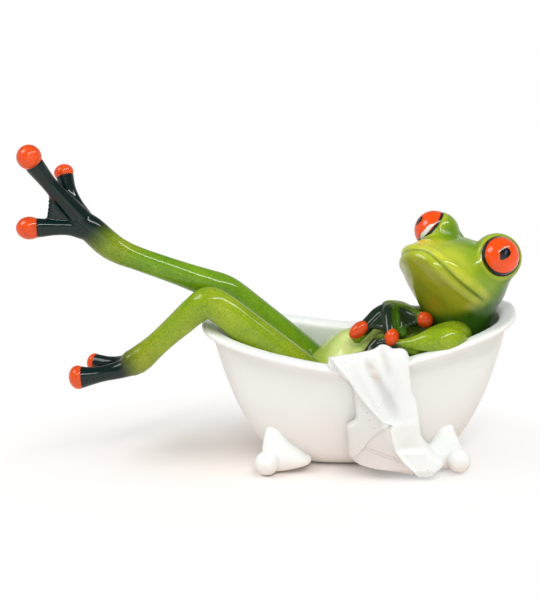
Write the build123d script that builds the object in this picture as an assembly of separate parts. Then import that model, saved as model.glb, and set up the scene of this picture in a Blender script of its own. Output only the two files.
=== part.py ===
from build123d import *
from math import cos, sin, radians, pi
import os

# A painted resin ornament: a long-legged tree frog lies back in a claw-foot bathtub, with its
# hands folded on its belly, one leg hung over the rim, the other kicked up, and a towel beside it.
# All lengths are in millimetres. While it is built, the origin is on the ground under the middle
# of the bathtub, with +X to the head end, -Y to the towel side and +Z up.
# Left and right are the frog's own: its left side is the towel side.

# Bathtub
TUB_LENGTH = 142.0
TUB_WIDTH = 68.6
TUB_HEIGHT = 51.3
TUB_CLEARANCE = 3.0
RIM_RISE_FOOT_END = 13.1
RIM_RISE_HEAD_END = 16.7
LIP_OVERHANG = 4.8
LIP_THICKNESS = 3.2
TUB_WALL = 3.0
TUB_FLOOR = 8.0

# Bathtub feet
FOOT_BALL_RADIUS = 5.4
FOOT_BALL_FLAT = 0.4
FOOT_SPACING_X = 85.0
FOOT_SPACING_Y = 50.0
BRACKET_WIDTH = 22.2
BRACKET_HEIGHT = 19.0
BRACKET_DEPTH = 13.5
BRACKET_LEAN = 22.0

# Glued joints
GLUE_GAP = 0.15
FOOT_PEG_RADIUS = 1.5
FOOT_PEG_LENGTH = 9.0
TIP_PEG_RADIUS = 0.8
SHOULDER_PEG_RADIUS = 1.5
SHOULDER_PEG_LENGTH = 13.0
WRIST_PEG_RADIUS = 1.2
NECK_DOWEL_RADIUS = 2.5
NECK_DOWEL_LENGTH = 26.0
LEG_WIRE_RADIUS = 1.0
LEG_WIRE_ROOT = 12.0

# Torso
BELLY_WIDTH = 43.0

# Head
HEAD_WIDTH = 44.0
HEAD_LENGTH = 47.0
HEAD_HEIGHT = 36.0
HEAD_HEADING = 52.0
HEAD_PITCH = 28.0
HEAD_ROLL = -10.4
NECK_RADIUS = 12.0
THROAT_RADIUS = 15.5
EYE_SPACING = 39.2
EYE_RING_RADIUS = 8.6
EYE_DOME_HEIGHT = 7.0
EYE_MOUND_RADIUS = 11.2
EYE_MOUND_SETBACK = 5.5
EYE_SPLAY = 44.5
EYE_RISE = 12.0
MOUTH_WIDTH = 42.6
MOUTH_REACH = 24.9
MOUTH_GROOVE_RADIUS = 0.9

# Legs
THIGH_LENGTH = 56.5
LEFT_CALF_LENGTH = 23.4
LEFT_ANKLE_LENGTH = 21.7
RIGHT_CALF_LENGTH = 39.3
RIGHT_ANKLE_LENGTH = 21.8
HIP_SPACING = 22.0
HIP_RADIUS = 9.0
KNEE_RADIUS = 6.8
CALF_RADIUS = 5.4
ANKLE_RADIUS = 5.0
HEEL_RADIUS = 6.2

# Frog feet
SOLE_LENGTH = 11.7
SOLE_RADIUS = 5.0
TOE_ROOT_LENGTH = 14.0
TOE_END_LENGTH = 14.8
TOE_RADIUS = 3.3
TOE_FLARE_RADIUS = 4.2
TOE_BALL_RADIUS = 5.4
WEB_THICKNESS = 2.4

# Arms and hands
SHOULDER_RADIUS = 8.0
ELBOW_RADIUS = 6.9
WRIST_RADIUS = 4.2
UPPER_ARM_LENGTH = 16.0
FOREARM_LENGTH = 21.4
PALM_LENGTH = 11.5
KNUCKLE_RADIUS = 4.3
FINGER_ROOT_LENGTH = 11.0
FINGER_END_LENGTH = 9.5
FINGER_RADIUS = 2.9
FINGER_BALL_RADIUS = 3.4

# Towel
TOWEL_FOLD_DEPTH = 2.6
TOWEL_BUNCH_DEPTH = 11.0
TOWEL_GROUND_GAP = 0.8

SPLINE_POINTS = 12
RIM_POINTS = 7
OVERRUN = 5.0


# Bathtub shape

LIP_SQUARENESS = 2.6
BODY_SQUARENESS = 2.5
RIM_LOW_SHARE = -0.018
RIM_CURVE_POWER = 1.24
# Height between the underside and the lip, then half length and half width at the lip's inside.
TUB_SECTION_SHARES = (
    (0.0, 0.56, 0.60),
    (0.1, 0.672, 0.74),
    (0.31, 0.778, 0.85),
    (0.62, 0.885, 0.945),
    (1.04, 0.98, 1.0),
    (1.45, 1.03, 1.03),
)


def side_of(value):
    """Minus one below zero, else one."""
    return -1 if value < 0 else 1


def superellipse(half_length, half_width, squareness, middle=0.0):
    """A closed outline between an ellipse and a rectangle, as one periodic spline face."""
    points = []
    for step in range(SPLINE_POINTS):
        turn = 2 * pi * step / SPLINE_POINTS
        along, across = cos(turn), sin(turn)
        x = half_length * side_of(along) * abs(along) ** (2 / squareness)
        y = half_width * side_of(across) * abs(across) ** (2 / squareness)
        points.append((x, middle + y))
    return make_face(Spline(*points, periodic=True))


def tub_block(inset):
    """The bathtub's body as a solid, drawn in by inset on every side, running up past the rim."""
    under_lip_length = TUB_LENGTH / 2 - LIP_OVERHANG
    under_lip_width = TUB_WIDTH / 2 - LIP_OVERHANG
    faces = []
    for height_share, length_share, width_share in TUB_SECTION_SHARES:
        height = TUB_CLEARANCE + height_share * (TUB_HEIGHT - TUB_CLEARANCE)
        outline = superellipse(
            under_lip_length * length_share - inset,
            under_lip_width * width_share - inset,
            BODY_SQUARENESS,
        )
        faces.append(Plane.XY.offset(height) * outline)
    return loft(faces)


def rim_height(x):
    """Height of the lip's top at a place along the bathtub: low near the middle, high at both ends."""
    low_x = RIM_LOW_SHARE * TUB_LENGTH
    if x < low_x:
        reach = (low_x - x) / (low_x + TUB_LENGTH / 2)
        return TUB_HEIGHT + RIM_RISE_FOOT_END * reach ** RIM_CURVE_POWER
    reach = (x - low_x) / (TUB_LENGTH / 2 - low_x)
    return TUB_HEIGHT + RIM_RISE_HEAD_END * reach ** RIM_CURVE_POWER


def under_rim(drop):
    """Everything below the rim's curved top, lowered by drop."""
    half = TUB_LENGTH / 2 + OVERRUN
    points = []
    for step in range(RIM_POINTS):
        x = -half + 2 * half * step / (RIM_POINTS - 1)
        points.append((x, rim_height(x) - drop))
    edge = Spline(*points)
    base = Polyline(points[-1], (half, -OVERRUN), (-half, -OVERRUN), points[0])
    profile = make_face(edge + base)
    return extrude(Plane.XZ * profile, amount=TUB_WIDTH, both=True)


def tub_lip():
    """The flared lip: a ring that overhangs the wall and follows the rim's rise at both ends."""
    tall = TUB_HEIGHT + RIM_RISE_HEAD_END + OVERRUN
    ring = extrude(superellipse(TUB_LENGTH / 2, TUB_WIDTH / 2, LIP_SQUARENESS), amount=tall)
    return (ring & under_rim(0)) - under_rim(LIP_THICKNESS)



# Round bars, chains of bones and pegs

KNUCKLE_SWELL_SHARE = 1.03


def bar(start, end, start_radius, end_radius):
    """A straight tapered round bar between two points."""
    length = (end - start).length
    half = make_face(Polyline((0, 0), (start_radius, 0), (end_radius, length), (0, length), close=True))
    solid = revolve(Plane.XZ * half, Axis.Z)
    return Plane(origin=start, z_dir=end - start) * solid


def ball(center, radius, *partners):
    """A sphere, a little larger than the bars that run to its partners, its poles inside those bars."""
    ways = [(partner - center).normalized() for partner in partners]
    axis = ways[0] - ways[1] if ways[1:] else ways[0]
    return Plane(origin=center, z_dir=axis) * Sphere(radius * KNUCKLE_SWELL_SHARE)


def limb(points, radii):
    """Bars through the points, with a round joint between each two bars."""
    bars = [bar(*run) for run in zip(points, points[1:], radii, radii[1:])]
    joints = [ball(*joint) for joint in zip(points[1:-1], radii[1:-1], points, points[2:])]
    return fused(bars + joints)


def fused(shapes):
    """All the shapes as one solid."""
    return shapes[0] + shapes[1:] if shapes[1:] else shapes[0]


def reach(start, length, heading, rise):
    """The point at a length from start: heading turns about +Z from +X, rise lifts from level."""
    flat = length * cos(radians(rise))
    step = Vector(flat * cos(radians(heading)), flat * sin(radians(heading)), length * sin(radians(rise)))
    return start + step


def peg(start, end, radius):
    """A straight round pin between two points."""
    pin = Cylinder(radius, (end - start).length, align=(Align.CENTER, Align.CENTER, Align.MIN))
    return Plane(origin=start, z_dir=end - start) * pin


def peg_hole(start, end, radius):
    """The hole that a pin is glued in."""
    return peg(start, end, radius + GLUE_GAP)


def main_solid(shape):
    """The largest solid of a cut piece, without the crumbs that a grazing cut leaves."""
    return max(shape.solids(), key=lambda solid: solid.volume)


def place(shares):
    """A point given as shares of the bathtub's length, width and height."""
    along, across, up = shares
    return Vector(along * TUB_LENGTH, across * TUB_WIDTH, up * TUB_HEIGHT)


# Torso: sections across the body, from the seat to the shoulders.
# Place along the bathtub, top and bottom as shares of its height, half width as a share of the belly's.
TORSO_SECTION_SHARES = (
    (-0.205, 0.68, 0.4, 0.25),
    (-0.155, 0.89, 0.2, 0.75),
    (-0.06, 1.09, 0.16, 0.98),
    (0.12, 1.22, 0.22, 1.0),
    (0.26, 1.25, 0.45, 0.88),
    (0.345, 1.19, 0.7, 0.58),
    (0.387, 1.09, 0.86, 0.28),
)
HIP_SHARE = (-0.155, 0.0, 0.74)
NECK_ROOT_SHARE = (0.331, 0.015, 1.01)


def torso_form():
    """The belly and back: a loft through ellipses that stand across the body."""
    faces = []
    for along, top_share, bottom_share, width_share in TORSO_SECTION_SHARES:
        top, bottom = top_share * TUB_HEIGHT, bottom_share * TUB_HEIGHT
        section = Plane(
            origin=(along * TUB_LENGTH, 0, (top + bottom) / 2), x_dir=(0, 1, 0), z_dir=(1, 0, 0)
        )
        faces.append(section * Ellipse(width_share * BELLY_WIDTH / 2, (top - bottom) / 2))
    return loft(faces)


# Head, in its own frame: origin between the eyes, X to the frog's right, Y forward, Z up.
HEAD_PLACE_SHARE = (0.328, 0.0, 1.924)
# Level over the head's height, front and back over its length, half width over half its width.
HEAD_SECTION_SHARES = (
    (0.055, -0.02, -0.234, 0.27),
    (-0.03, 0.18, -0.35, 0.65),
    (-0.194, 0.41, -0.426, 0.886),
    (-0.41, 0.55, -0.447, 1.0),
    (-0.61, 0.53, -0.447, 0.955),
    (-0.78, 0.35, -0.436, 0.83),
    (-0.97, -0.06, -0.383, 0.5),
)
HEAD_WIDEST_SHARE = -0.13
MOUTH_LEVEL_SHARE = -0.333
MOUTH_DROP_SHARE = -0.236
MOUTH_CORNER_SHARE = 0.93
MOUTH_POINTS = 11
MOUTH_ROUNDNESS = 2.9
MOUTH_DROP_POWER = 1.4
CROWN_SHARE = -0.25
EYE_MOUND_ROOT_SHARE = 0.2
NECK_TOP_SHARE = (-0.03, -0.26, -0.6)
DOWEL_TOP_SHARE = (0.0, -0.16, -0.45)
NECK_SEAT_SHARE = (0.331, 0.015, 1.21)


def head_frame():
    """The head's frame, turned by its heading, pitch and roll."""
    heading, pitch, roll = radians(HEAD_HEADING), radians(HEAD_PITCH), radians(HEAD_ROLL)
    forward = Vector(-cos(heading) * cos(pitch), -sin(heading) * cos(pitch), sin(pitch))
    level_left = Vector(sin(heading), -cos(heading), 0)
    upright = forward.cross(level_left)
    left = level_left * cos(roll) + upright * sin(roll)
    up = upright * cos(roll) - level_left * sin(roll)
    return Plane(origin=place(HEAD_PLACE_SHARE), x_dir=-left, z_dir=up)


head_plane = head_frame()


def head_point(across, forward, up):
    """A point of the head's own frame, in the bathtub's frame."""
    return head_plane.from_local_coords(Vector(across, forward, up))


def head_place(shares):
    """A point given as shares of the head's width, length and height."""
    across, forward, up = shares
    return head_point(across * HEAD_WIDTH, forward * HEAD_LENGTH, up * HEAD_HEIGHT)


def head_section(front, back, half_width):
    """A level slice of the head: blunt behind, a longer curve in front."""
    widest = HEAD_WIDEST_SHARE * (front - back) + (front + back) / 2
    points = []
    for step in range(SPLINE_POINTS):
        turn = 2 * pi * step / SPLINE_POINTS
        forward = sin(turn) * ((front - widest) if sin(turn) > 0 else (widest - back))
        points.append((half_width * cos(turn), widest + forward))
    return make_face(Spline(*points, periodic=True))


def mouth_point(share):
    """A point of the mouth line, from -1 at the right corner to 1 at the left corner."""
    spread = abs(share)
    forward = MOUTH_REACH * (1 - spread ** MOUTH_ROUNDNESS)
    level = MOUTH_LEVEL_SHARE + MOUTH_DROP_SHARE * spread ** MOUTH_DROP_POWER
    return head_point(-share * MOUTH_WIDTH / 2, forward, level * HEAD_HEIGHT)


def mouth_groove():
    """A round groove along the mouth line."""
    points = []
    for step in range(MOUTH_POINTS):
        share = MOUTH_CORNER_SHARE * (2 * step / (MOUTH_POINTS - 1) - 1)
        points.append(mouth_point(share))
    line = Spline(*points)
    start = Plane(origin=line @ 0, z_dir=line % 0)
    return sweep(start * Circle(MOUTH_GROOVE_RADIUS), path=line)


def eye_axis(side):
    """The direction an eye looks in; side is 1 for the left eye and -1 for the right."""
    splay, rise = radians(EYE_SPLAY), radians(EYE_RISE)
    across = -side * sin(splay) * cos(rise)
    tip = head_point(across, cos(splay) * cos(rise), sin(rise))
    return tip - head_point(0, 0, 0)


def eye_ring(side):
    """The middle of the ring where an eye leaves its mound."""
    return head_point(-side * EYE_SPACING / 2, 0, 0)


EYE_RADIUS = (EYE_RING_RADIUS ** 2 + EYE_DOME_HEIGHT ** 2) / (2 * EYE_DOME_HEIGHT)


def eye_center(side):
    return eye_ring(side) - eye_axis(side) * (EYE_RADIUS - EYE_DOME_HEIGHT)


def head_form():
    """The head with its neck and the two mounds that carry the eyes."""
    faces = []
    for level, front, back, width in HEAD_SECTION_SHARES:
        slice_face = head_section(front * HEAD_LENGTH, back * HEAD_LENGTH, width * HEAD_WIDTH / 2)
        faces.append(head_plane.offset(level * HEAD_HEIGHT) * slice_face)
    form = loft(faces)
    form += bar(place(NECK_ROOT_SHARE), head_place(NECK_TOP_SHARE), NECK_RADIUS, THROAT_RADIUS)
    for side in (1, -1):
        mound = eye_ring(side) - eye_axis(side) * EYE_MOUND_SETBACK
        root = head_place((-side * EYE_MOUND_ROOT_SHARE, CROWN_SHARE, MOUTH_LEVEL_SHARE))
        form += bar(root, mound, EYE_MOUND_RADIUS, EYE_MOUND_RADIUS)
        form += ball(mound, EYE_MOUND_RADIUS, root)
    return form



# Legs and feet. A bone is its length, its heading about +Z from +X and its rise, in degrees.
LEFT_LEG_BONES = (
    (THIGH_LENGTH, 179, 40),
    (LEFT_CALF_LENGTH, 174, -35),
    (LEFT_ANKLE_LENGTH, 173, -39),
)
RIGHT_LEG_BONES = (
    (THIGH_LENGTH, -174, 45),
    (RIGHT_CALF_LENGTH, -176, 23),
    (RIGHT_ANKLE_LENGTH, -175, 34),
)
# Digits: root and end bone as shares of a digit's root and end length, with heading and rise,
# then the share of the ball's full radius.
LEFT_TOE_SHARES = (
    ((1.16, -172, -21), (0.73, -175, -4), 0.94),
    ((1.04, 151, -13), (0.635, 148, -2), 0.87),
    ((0.85, 146, -22), (0.72, 150, -26), 0.78),
)
RIGHT_SOLE_BONE = (SOLE_LENGTH, -173, 44)
RIGHT_TOE_SHARES = (
    ((1.36, -170, 53), (1.07, -159, 58), 1.03),
    ((0.86, 126, 52), (0.67, 122, 61), 0.8),
    ((0.69, -161, -19), (0.92, -167, 1), 0.95),
)
LEFT_FINGER_SHARES = (
    ((0.64, 168, 2), (0.92, -172, -58), 0.95),
    ((0.46, -170, -14), (0.81, 96, -76), 0.95),
    ((0.31, 0, -68), (0.7, 55, -79), 0.9),
)
RIGHT_FINGER_SHARES = (
    ((1.05, -136, -2), (0.85, -135, -29), 0.97),
    ((0.91, -95, -4), (1.24, -84, -32), 1.0),
    ((1.0, -48, 0), (0.9, -36, -5), 1.0),
)
LEFT_SHOULDER_SHARES = (0.314, -0.19, 1.17)
RIGHT_SHOULDER_SHARES = (0.324, 0.19, 1.16)
LEFT_ARM_BONES = ((UPPER_ARM_LENGTH, -110, 15), (FOREARM_LENGTH, 172, -14))
RIGHT_ARM_BONES = ((UPPER_ARM_LENGTH, 130, 9), (FOREARM_LENGTH, -127, 7))
LEFT_PALM_BONE = (PALM_LENGTH, 165, 6)
RIGHT_PALM_BONE = (PALM_LENGTH, -158, 14)
SHOULDER_PIN_SHARES = (0.25, 0.15, 0.95)
FINGER_ROOT_SHARE = 0.85
TOE_ROOT_SHARE = 0.9
PIN_ROOT_SHARE = 0.8
PIN_END_SHARE = 0.12
PIN_OFFSET_SHARE = 0.35


def chain(start, bones):
    """The joints of a limb, from its root to its end."""
    points = [start]
    for length, heading, rise in bones:
        points.append(reach(points[-1], length, heading, rise))
    return points


def digits(root, table, root_length, end_length, radii, ball_radius):
    """Toes or fingers from one root: their bars, their balls, and the pins that join the two."""
    bars, balls, pins = [], [], []
    root_radius, slim_radius, end_radius = radii
    for (root_share, root_heading, root_rise), (end_share, heading, rise), ball_share in table:
        knuckle = reach(root, root_share * root_length, root_heading, root_rise)
        tip = reach(knuckle, end_share * end_length, heading, rise)
        bars.append(limb([root, knuckle, tip], [root_radius, slim_radius, end_radius * ball_share]))
        balls.append(ball(tip, ball_radius * ball_share, knuckle))
        pins.append((knuckle, tip))
    return bars, balls, pins


def web(root, first, second, thickness):
    """A thin skin between two digits."""
    skin = make_face(Polyline(root, first, second, close=True))
    return extrude(skin, amount=thickness / 2, both=True)


# Towel: level over the bathtub's height, left and right edge over its length, reach over its half width.
TOWEL_SECTION_SHARES = (
    (1.13, -0.098, 0.15, 1.05),
    (0.955, -0.06, 0.151, 1.09),
    (0.74, -0.03, 0.172, 1.07),
    (0.545, -0.055, 0.18, 1.0),
    (0.37, -0.05, 0.193, 1.02),
    (0.19, -0.045, 0.24, 1.06),
    (0.0, 0.0, 0.24, 1.1),
)
TOWEL_FOLD_SHARES = (0.0, 0.9, 0.1, 1.0, 0.2, 0.8, 0.0)
TOWEL_BACK_SHARE = 0.72
# Bunched cloth over the lip: place along the bathtub, top over its height.
TOWEL_BUNCH_SHARES = (
    (-0.098, 1.11),
    (-0.05, 1.14),
    (0.0, 1.17),
    (0.04, 1.21),
    (0.07, 1.245),
    (0.1, 1.22),
    (0.15, 1.11),
)
TOWEL_BUNCH_FOOT_SHARE = 0.97
TOWEL_BUNCH_MIDDLE_SHARE = 0.9


def towel_section(level, left, right, reach_share):
    """A level slice of the hanging towel: folds in front, straight behind."""
    front = -reach_share * TUB_WIDTH / 2
    back = -TOWEL_BACK_SHARE * TUB_WIDTH / 2
    last = len(TOWEL_FOLD_SHARES) - 1
    points = []
    for step, fold in enumerate(TOWEL_FOLD_SHARES):
        x = (left + (right - left) * step / last) * TUB_LENGTH
        points.append((x, front + (1 - fold) * TOWEL_FOLD_DEPTH))
    sides = Polyline(points[-1], (points[-1][0], back), (points[0][0], back), points[0])
    height = TOWEL_GROUND_GAP + level * (TUB_HEIGHT - TOWEL_GROUND_GAP)
    return Plane.XY.offset(height) * make_face(Spline(*points) + sides)


def towel_form():
    """The towel: it hangs in folds from a bunch of cloth that lies over the lip."""
    hanging = loft([towel_section(*shares) for shares in TOWEL_SECTION_SHARES], ruled=True)
    bunch = []
    for along, top_share in TOWEL_BUNCH_SHARES:
        top, foot = top_share * TUB_HEIGHT, TOWEL_BUNCH_FOOT_SHARE * TUB_HEIGHT
        middle = -TOWEL_BUNCH_MIDDLE_SHARE * TUB_WIDTH / 2
        stand = Plane(
            origin=(along * TUB_LENGTH, middle, (top + foot) / 2), x_dir=(0, 1, 0), z_dir=(1, 0, 0)
        )
        bunch.append(stand * Ellipse(TOWEL_BUNCH_DEPTH / 2, (top - foot) / 2))
    return hanging + loft(bunch)


# Bathtub feet
# Outline of a bracket from its outer bottom corner, over its width and its height.
BRACKET_OUTLINE_SHARES = (
    (0.0, 0.05),
    (0.0, 0.6),
    (0.1, 1.0),
    (0.32, 0.95),
    (0.62, 0.58),
    (0.92, 0.22),
    (1.0, 0.14),
    (0.66, 0.07),
    (0.3, 0.0),
)
PEG_PLACE_SHARE = 0.3


def foot_form(side_x, side_y):
    """One foot: a lobed bracket that leans against the body and the ball that it stands on."""
    corner = Vector(side_x * (FOOT_SPACING_X / 2 + FOOT_BALL_RADIUS / 2), 0, 0)
    lean = radians(BRACKET_LEAN)
    outward = Vector(0, side_y * cos(lean), sin(lean))
    origin = corner + Vector(0, side_y * (FOOT_SPACING_Y + FOOT_BALL_RADIUS) / 2, 0)
    face_plane = Plane(origin=origin, x_dir=(-side_x, 0, 0), z_dir=outward)
    rise = side_of(face_plane.y_dir.Z)
    outline = [
        (across * BRACKET_WIDTH, rise * up * BRACKET_HEIGHT / cos(lean))
        for across, up in BRACKET_OUTLINE_SHARES
    ]
    bracket = extrude(face_plane * make_face(Spline(*outline, periodic=True)), amount=-BRACKET_DEPTH)
    center = (side_x * FOOT_SPACING_X / 2, side_y * FOOT_SPACING_Y / 2, FOOT_BALL_RADIUS - FOOT_BALL_FLAT)
    return bracket + Pos(*center) * Sphere(FOOT_BALL_RADIUS)


def foot_peg(side_x, side_y, radius):
    """The pin that locates a foot in the bathtub's floor."""
    x = side_x * (FOOT_SPACING_X / 2 - PEG_PLACE_SHARE * BRACKET_WIDTH / 2)
    y = side_y * FOOT_SPACING_Y * PEG_PLACE_SHARE
    bottom = Vector(x, y, FOOT_BALL_RADIUS)
    return peg(bottom, bottom + Vector(0, 0, FOOT_PEG_LENGTH), radius)


# Building the pieces, the larger ones first: each later piece is cut to seat on the earlier ones.

nodes = {}


def build_bathtub():
    """The bathtub and its four feet."""
    body = tub_block(0)
    hollow = tub_block(TUB_WALL) - extrude(
        Rectangle(2 * TUB_LENGTH, 2 * TUB_WIDTH), amount=TUB_CLEARANCE + TUB_FLOOR
    )
    shell = (body & under_rim(0)) + tub_lip() - hollow
    ground = extrude(Rectangle(2 * TUB_LENGTH, 2 * TUB_WIDTH), amount=-OVERRUN)
    for end, side_x in (("foot_end", -1), ("head_end", 1)):
        for flank, side_y in (("left", -1), ("right", 1)):
            foot = main_solid(foot_form(side_x, side_y) - body - ground)
            foot = foot + foot_peg(side_x, side_y, FOOT_PEG_RADIUS)
            shell = shell - foot_peg(side_x, side_y, FOOT_PEG_RADIUS + GLUE_GAP)
            nodes[f"tub_foot_{end}_{flank}"] = foot
    nodes["tub_shell"] = main_solid(shell)
    return hollow


def basin_room(hollow):
    """All the room inside the bathtub and above its rim."""
    lid = Plane.XY.offset(TUB_HEIGHT) * Rectangle(2 * TUB_LENGTH, 2 * TUB_WIDTH)
    return hollow + extrude(lid, amount=2 * TUB_HEIGHT)


def neck_dowel(radius):
    """The dowel that carries the head on the torso."""
    root = place(NECK_ROOT_SHARE)
    toward = (head_place(DOWEL_TOP_SHARE) - root).normalized()
    middle = place(NECK_SEAT_SHARE)
    half = toward * (NECK_DOWEL_LENGTH / 2)
    return peg(middle - half, middle + half, radius)


def build_trunk(hollow):
    """The torso seated in the basin, the head on its neck dowel, and the eyes in their sockets."""
    torso = main_solid(torso_form() & basin_room(hollow))
    head = head_form() - torso
    for side, name in ((1, "left"), (-1, "right")):
        head = head - Pos(eye_center(side)) * Sphere(EYE_RADIUS + GLUE_GAP)
        nodes[f"eye_{name}"] = Pos(eye_center(side)) * Sphere(EYE_RADIUS)
    head = head - mouth_groove() - neck_dowel(NECK_DOWEL_RADIUS + GLUE_GAP)
    nodes["neck_dowel"] = neck_dowel(NECK_DOWEL_RADIUS)
    nodes["torso"] = torso - neck_dowel(NECK_DOWEL_RADIUS + GLUE_GAP)
    nodes["head"] = main_solid(head)


def finish_digits(name, tips_name, body, table_parts, fixed):
    """Cut a hand or foot for its tips and seat both against the fixed pieces around them."""
    bars, balls, pins = table_parts
    form = fused([body] + bars)
    for tip in balls:
        form = form - tip
    for piece in fixed:
        form = form - piece
    form = main_solid(form)
    tips = []
    for tip, (knuckle, center) in zip(balls, pins):
        root = center + (knuckle - center) * PIN_ROOT_SHARE
        end = center + (knuckle - center) * PIN_END_SHARE
        form = form + peg(root, end, TIP_PEG_RADIUS)
        tip = tip - peg_hole(root, end, TIP_PEG_RADIUS)
        for piece in fixed:
            tip = tip - piece
        tips.append(main_solid(tip))
    nodes[name] = form
    nodes[tips_name] = Compound(tips)


def build_arm(name, shoulder_shares, bones, palm_bone, finger_shares, fixed_names):
    """An arm glued to the torso by a shoulder pin, and its hand on a wrist pin."""
    shoulder, elbow, wrist = chain(place(shoulder_shares), bones)
    arm = limb([shoulder, elbow, wrist], [SHOULDER_RADIUS, ELBOW_RADIUS, WRIST_RADIUS])
    arm = fused([arm, ball(shoulder, SHOULDER_RADIUS, elbow), ball(wrist, WRIST_RADIUS, elbow)])
    arm = main_solid(arm - nodes["torso"] - nodes["head"] - nodes["tub_shell"])
    along, across, up = SHOULDER_PIN_SHARES
    inner = place((along, side_of(shoulder_shares[1]) * across, up))
    toward = (inner - shoulder).normalized()
    pin_ends = (shoulder + (elbow - shoulder) * PIN_OFFSET_SHARE, shoulder + toward * SHOULDER_PEG_LENGTH)
    nodes["torso"] = nodes["torso"] - peg_hole(*pin_ends, SHOULDER_PEG_RADIUS)
    arm = arm + peg(*pin_ends, SHOULDER_PEG_RADIUS)

    palm_end = reach(wrist, *palm_bone)
    palm = bar(wrist, palm_end, WRIST_RADIUS, KNUCKLE_RADIUS)
    palm = fused([palm, ball(palm_end, KNUCKLE_RADIUS, wrist)])
    hole = peg_hole(palm_end, wrist, WRIST_PEG_RADIUS)
    pin = peg(palm_end, wrist, WRIST_PEG_RADIUS)
    radii = (KNUCKLE_RADIUS * FINGER_ROOT_SHARE, FINGER_RADIUS, FINGER_RADIUS)
    parts = digits(palm_end, finger_shares, FINGER_ROOT_LENGTH, FINGER_END_LENGTH, radii, FINGER_BALL_RADIUS)
    fixed = [nodes["torso"], arm]
    fixed += [nodes[other] for other in fixed_names]
    finish_digits(f"hand_{name}", f"finger_tips_{name}", palm, parts, fixed)
    nodes[f"hand_{name}"] = nodes[f"hand_{name}"] + pin
    nodes[f"arm_{name}"] = arm - hole


def leg_wire(points, radius):
    """The steel core of a leg: straight runs with rounded bends."""
    runs = [peg(start, end, radius) for start, end in zip(points, points[1:])]
    bends = [Pos(point) * Sphere(radius) for point in points[1:-1]]
    return fused(runs + bends)


def build_leg(name, side, bones, sole_bone, toe_shares, web_pair):
    """A leg cast round a steel wire that runs from the torso to the foot."""
    points = chain(place(HIP_SHARE) + Vector(0, side * HIP_SPACING / 2, 0), bones)
    hip, knee = points[0], points[1]
    leg = limb(points, [HIP_RADIUS, KNEE_RADIUS, CALF_RADIUS, ANKLE_RADIUS])
    end_radius = ANKLE_RADIUS if sole_bone else HEEL_RADIUS
    leg = fused([leg, ball(hip, HIP_RADIUS, knee), ball(points[-1], end_radius, points[-2])])
    leg = main_solid(leg - nodes["torso"] - nodes["tub_shell"])

    root = hip + (hip - knee).normalized() * LEG_WIRE_ROOT
    sole_end = reach(points[-1], *sole_bone) if sole_bone else points[-1]
    if sole_bone:
        body = bar(points[-1], sole_end, ANKLE_RADIUS, SOLE_RADIUS)
        body = fused([body, ball(sole_end, SOLE_RADIUS, points[-1])])
        wire_end = sole_end
    else:
        heading = toe_shares[0][0]
        wire_end = reach(points[-1], LEG_WIRE_ROOT, heading[1], heading[2])
        body = ball(points[-1], SOLE_RADIUS, points[-2])
    wire_points = [root, *points[1:], wire_end]
    radii = (SOLE_RADIUS * TOE_ROOT_SHARE, TOE_RADIUS, TOE_FLARE_RADIUS)
    parts = digits(sole_end, toe_shares, TOE_ROOT_LENGTH, TOE_END_LENGTH, radii, TOE_BALL_RADIUS)
    first, second = (parts[2][index][0] for index in web_pair)
    body = body + web(sole_end, first, second, WEB_THICKNESS)
    bore = leg_wire(wire_points, LEG_WIRE_RADIUS + GLUE_GAP)
    finish_digits(f"foot_{name}", f"toe_tips_{name}", body, parts, [leg])
    nodes[f"foot_{name}"] = nodes[f"foot_{name}"] - bore
    nodes[f"leg_{name}"] = leg - bore
    nodes["torso"] = nodes["torso"] - bore
    nodes[f"leg_wire_{name}"] = leg_wire(wire_points, LEG_WIRE_RADIUS)


def build_towel():
    """The towel, cut to lie on everything that it touches."""
    form = towel_form()
    for name, piece in nodes.items():
        if name.startswith(("tub", "arm", "hand", "finger", "torso")):
            form = form - piece
    nodes["towel"] = main_solid(form)


def write_parts():
    """Move the origin to the middle of the whole ornament's box, on the ground, and write the pieces."""
    box = Compound([solid for node in nodes.values() for solid in node.solids()]).bounding_box()
    shift = Pos(-(box.min.X + box.max.X) / 2, -(box.min.Y + box.max.Y) / 2, -box.min.Z)
    os.makedirs("parts", exist_ok=True)
    for name, node in nodes.items():
        export_step(shift * node, f"parts/{name}.step")
        print(name, len(node.solids()), "solid(s),", round(node.volume), "mm3")
    print("size", [round(value, 1) for value in (box.size.X, box.size.Y, box.size.Z)])
    print("moved by", [round(value, 2) for value in shift.position])


basin = build_bathtub()
build_trunk(basin)
build_leg("left", -1, LEFT_LEG_BONES, None, LEFT_TOE_SHARES, (0, 1))
build_leg("right", 1, RIGHT_LEG_BONES, RIGHT_SOLE_BONE, RIGHT_TOE_SHARES, (0, 2))
build_arm("left", LEFT_SHOULDER_SHARES, LEFT_ARM_BONES, LEFT_PALM_BONE, LEFT_FINGER_SHARES, ["tub_shell"])
under_right = ["arm_left", "hand_left", "finger_tips_left"]
build_arm("right", RIGHT_SHOULDER_SHARES, RIGHT_ARM_BONES, RIGHT_PALM_BONE, RIGHT_FINGER_SHARES, under_right)
build_towel()
write_parts()
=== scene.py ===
# %% [markdown]
# # A painted resin frog in its bathtub
# This lesson dresses a finished CAD assembly for a picture. The CAD gives every piece its place and
# size, and stays underneath. Each cell below makes one visible piece or one finish as a formula,
# puts it into a mesh, and says which CAD pieces it stands for.

# %% Load the frame
import math

import bmesh
import bpy
import numpy as np
from mathutils import Matrix, Vector


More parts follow.
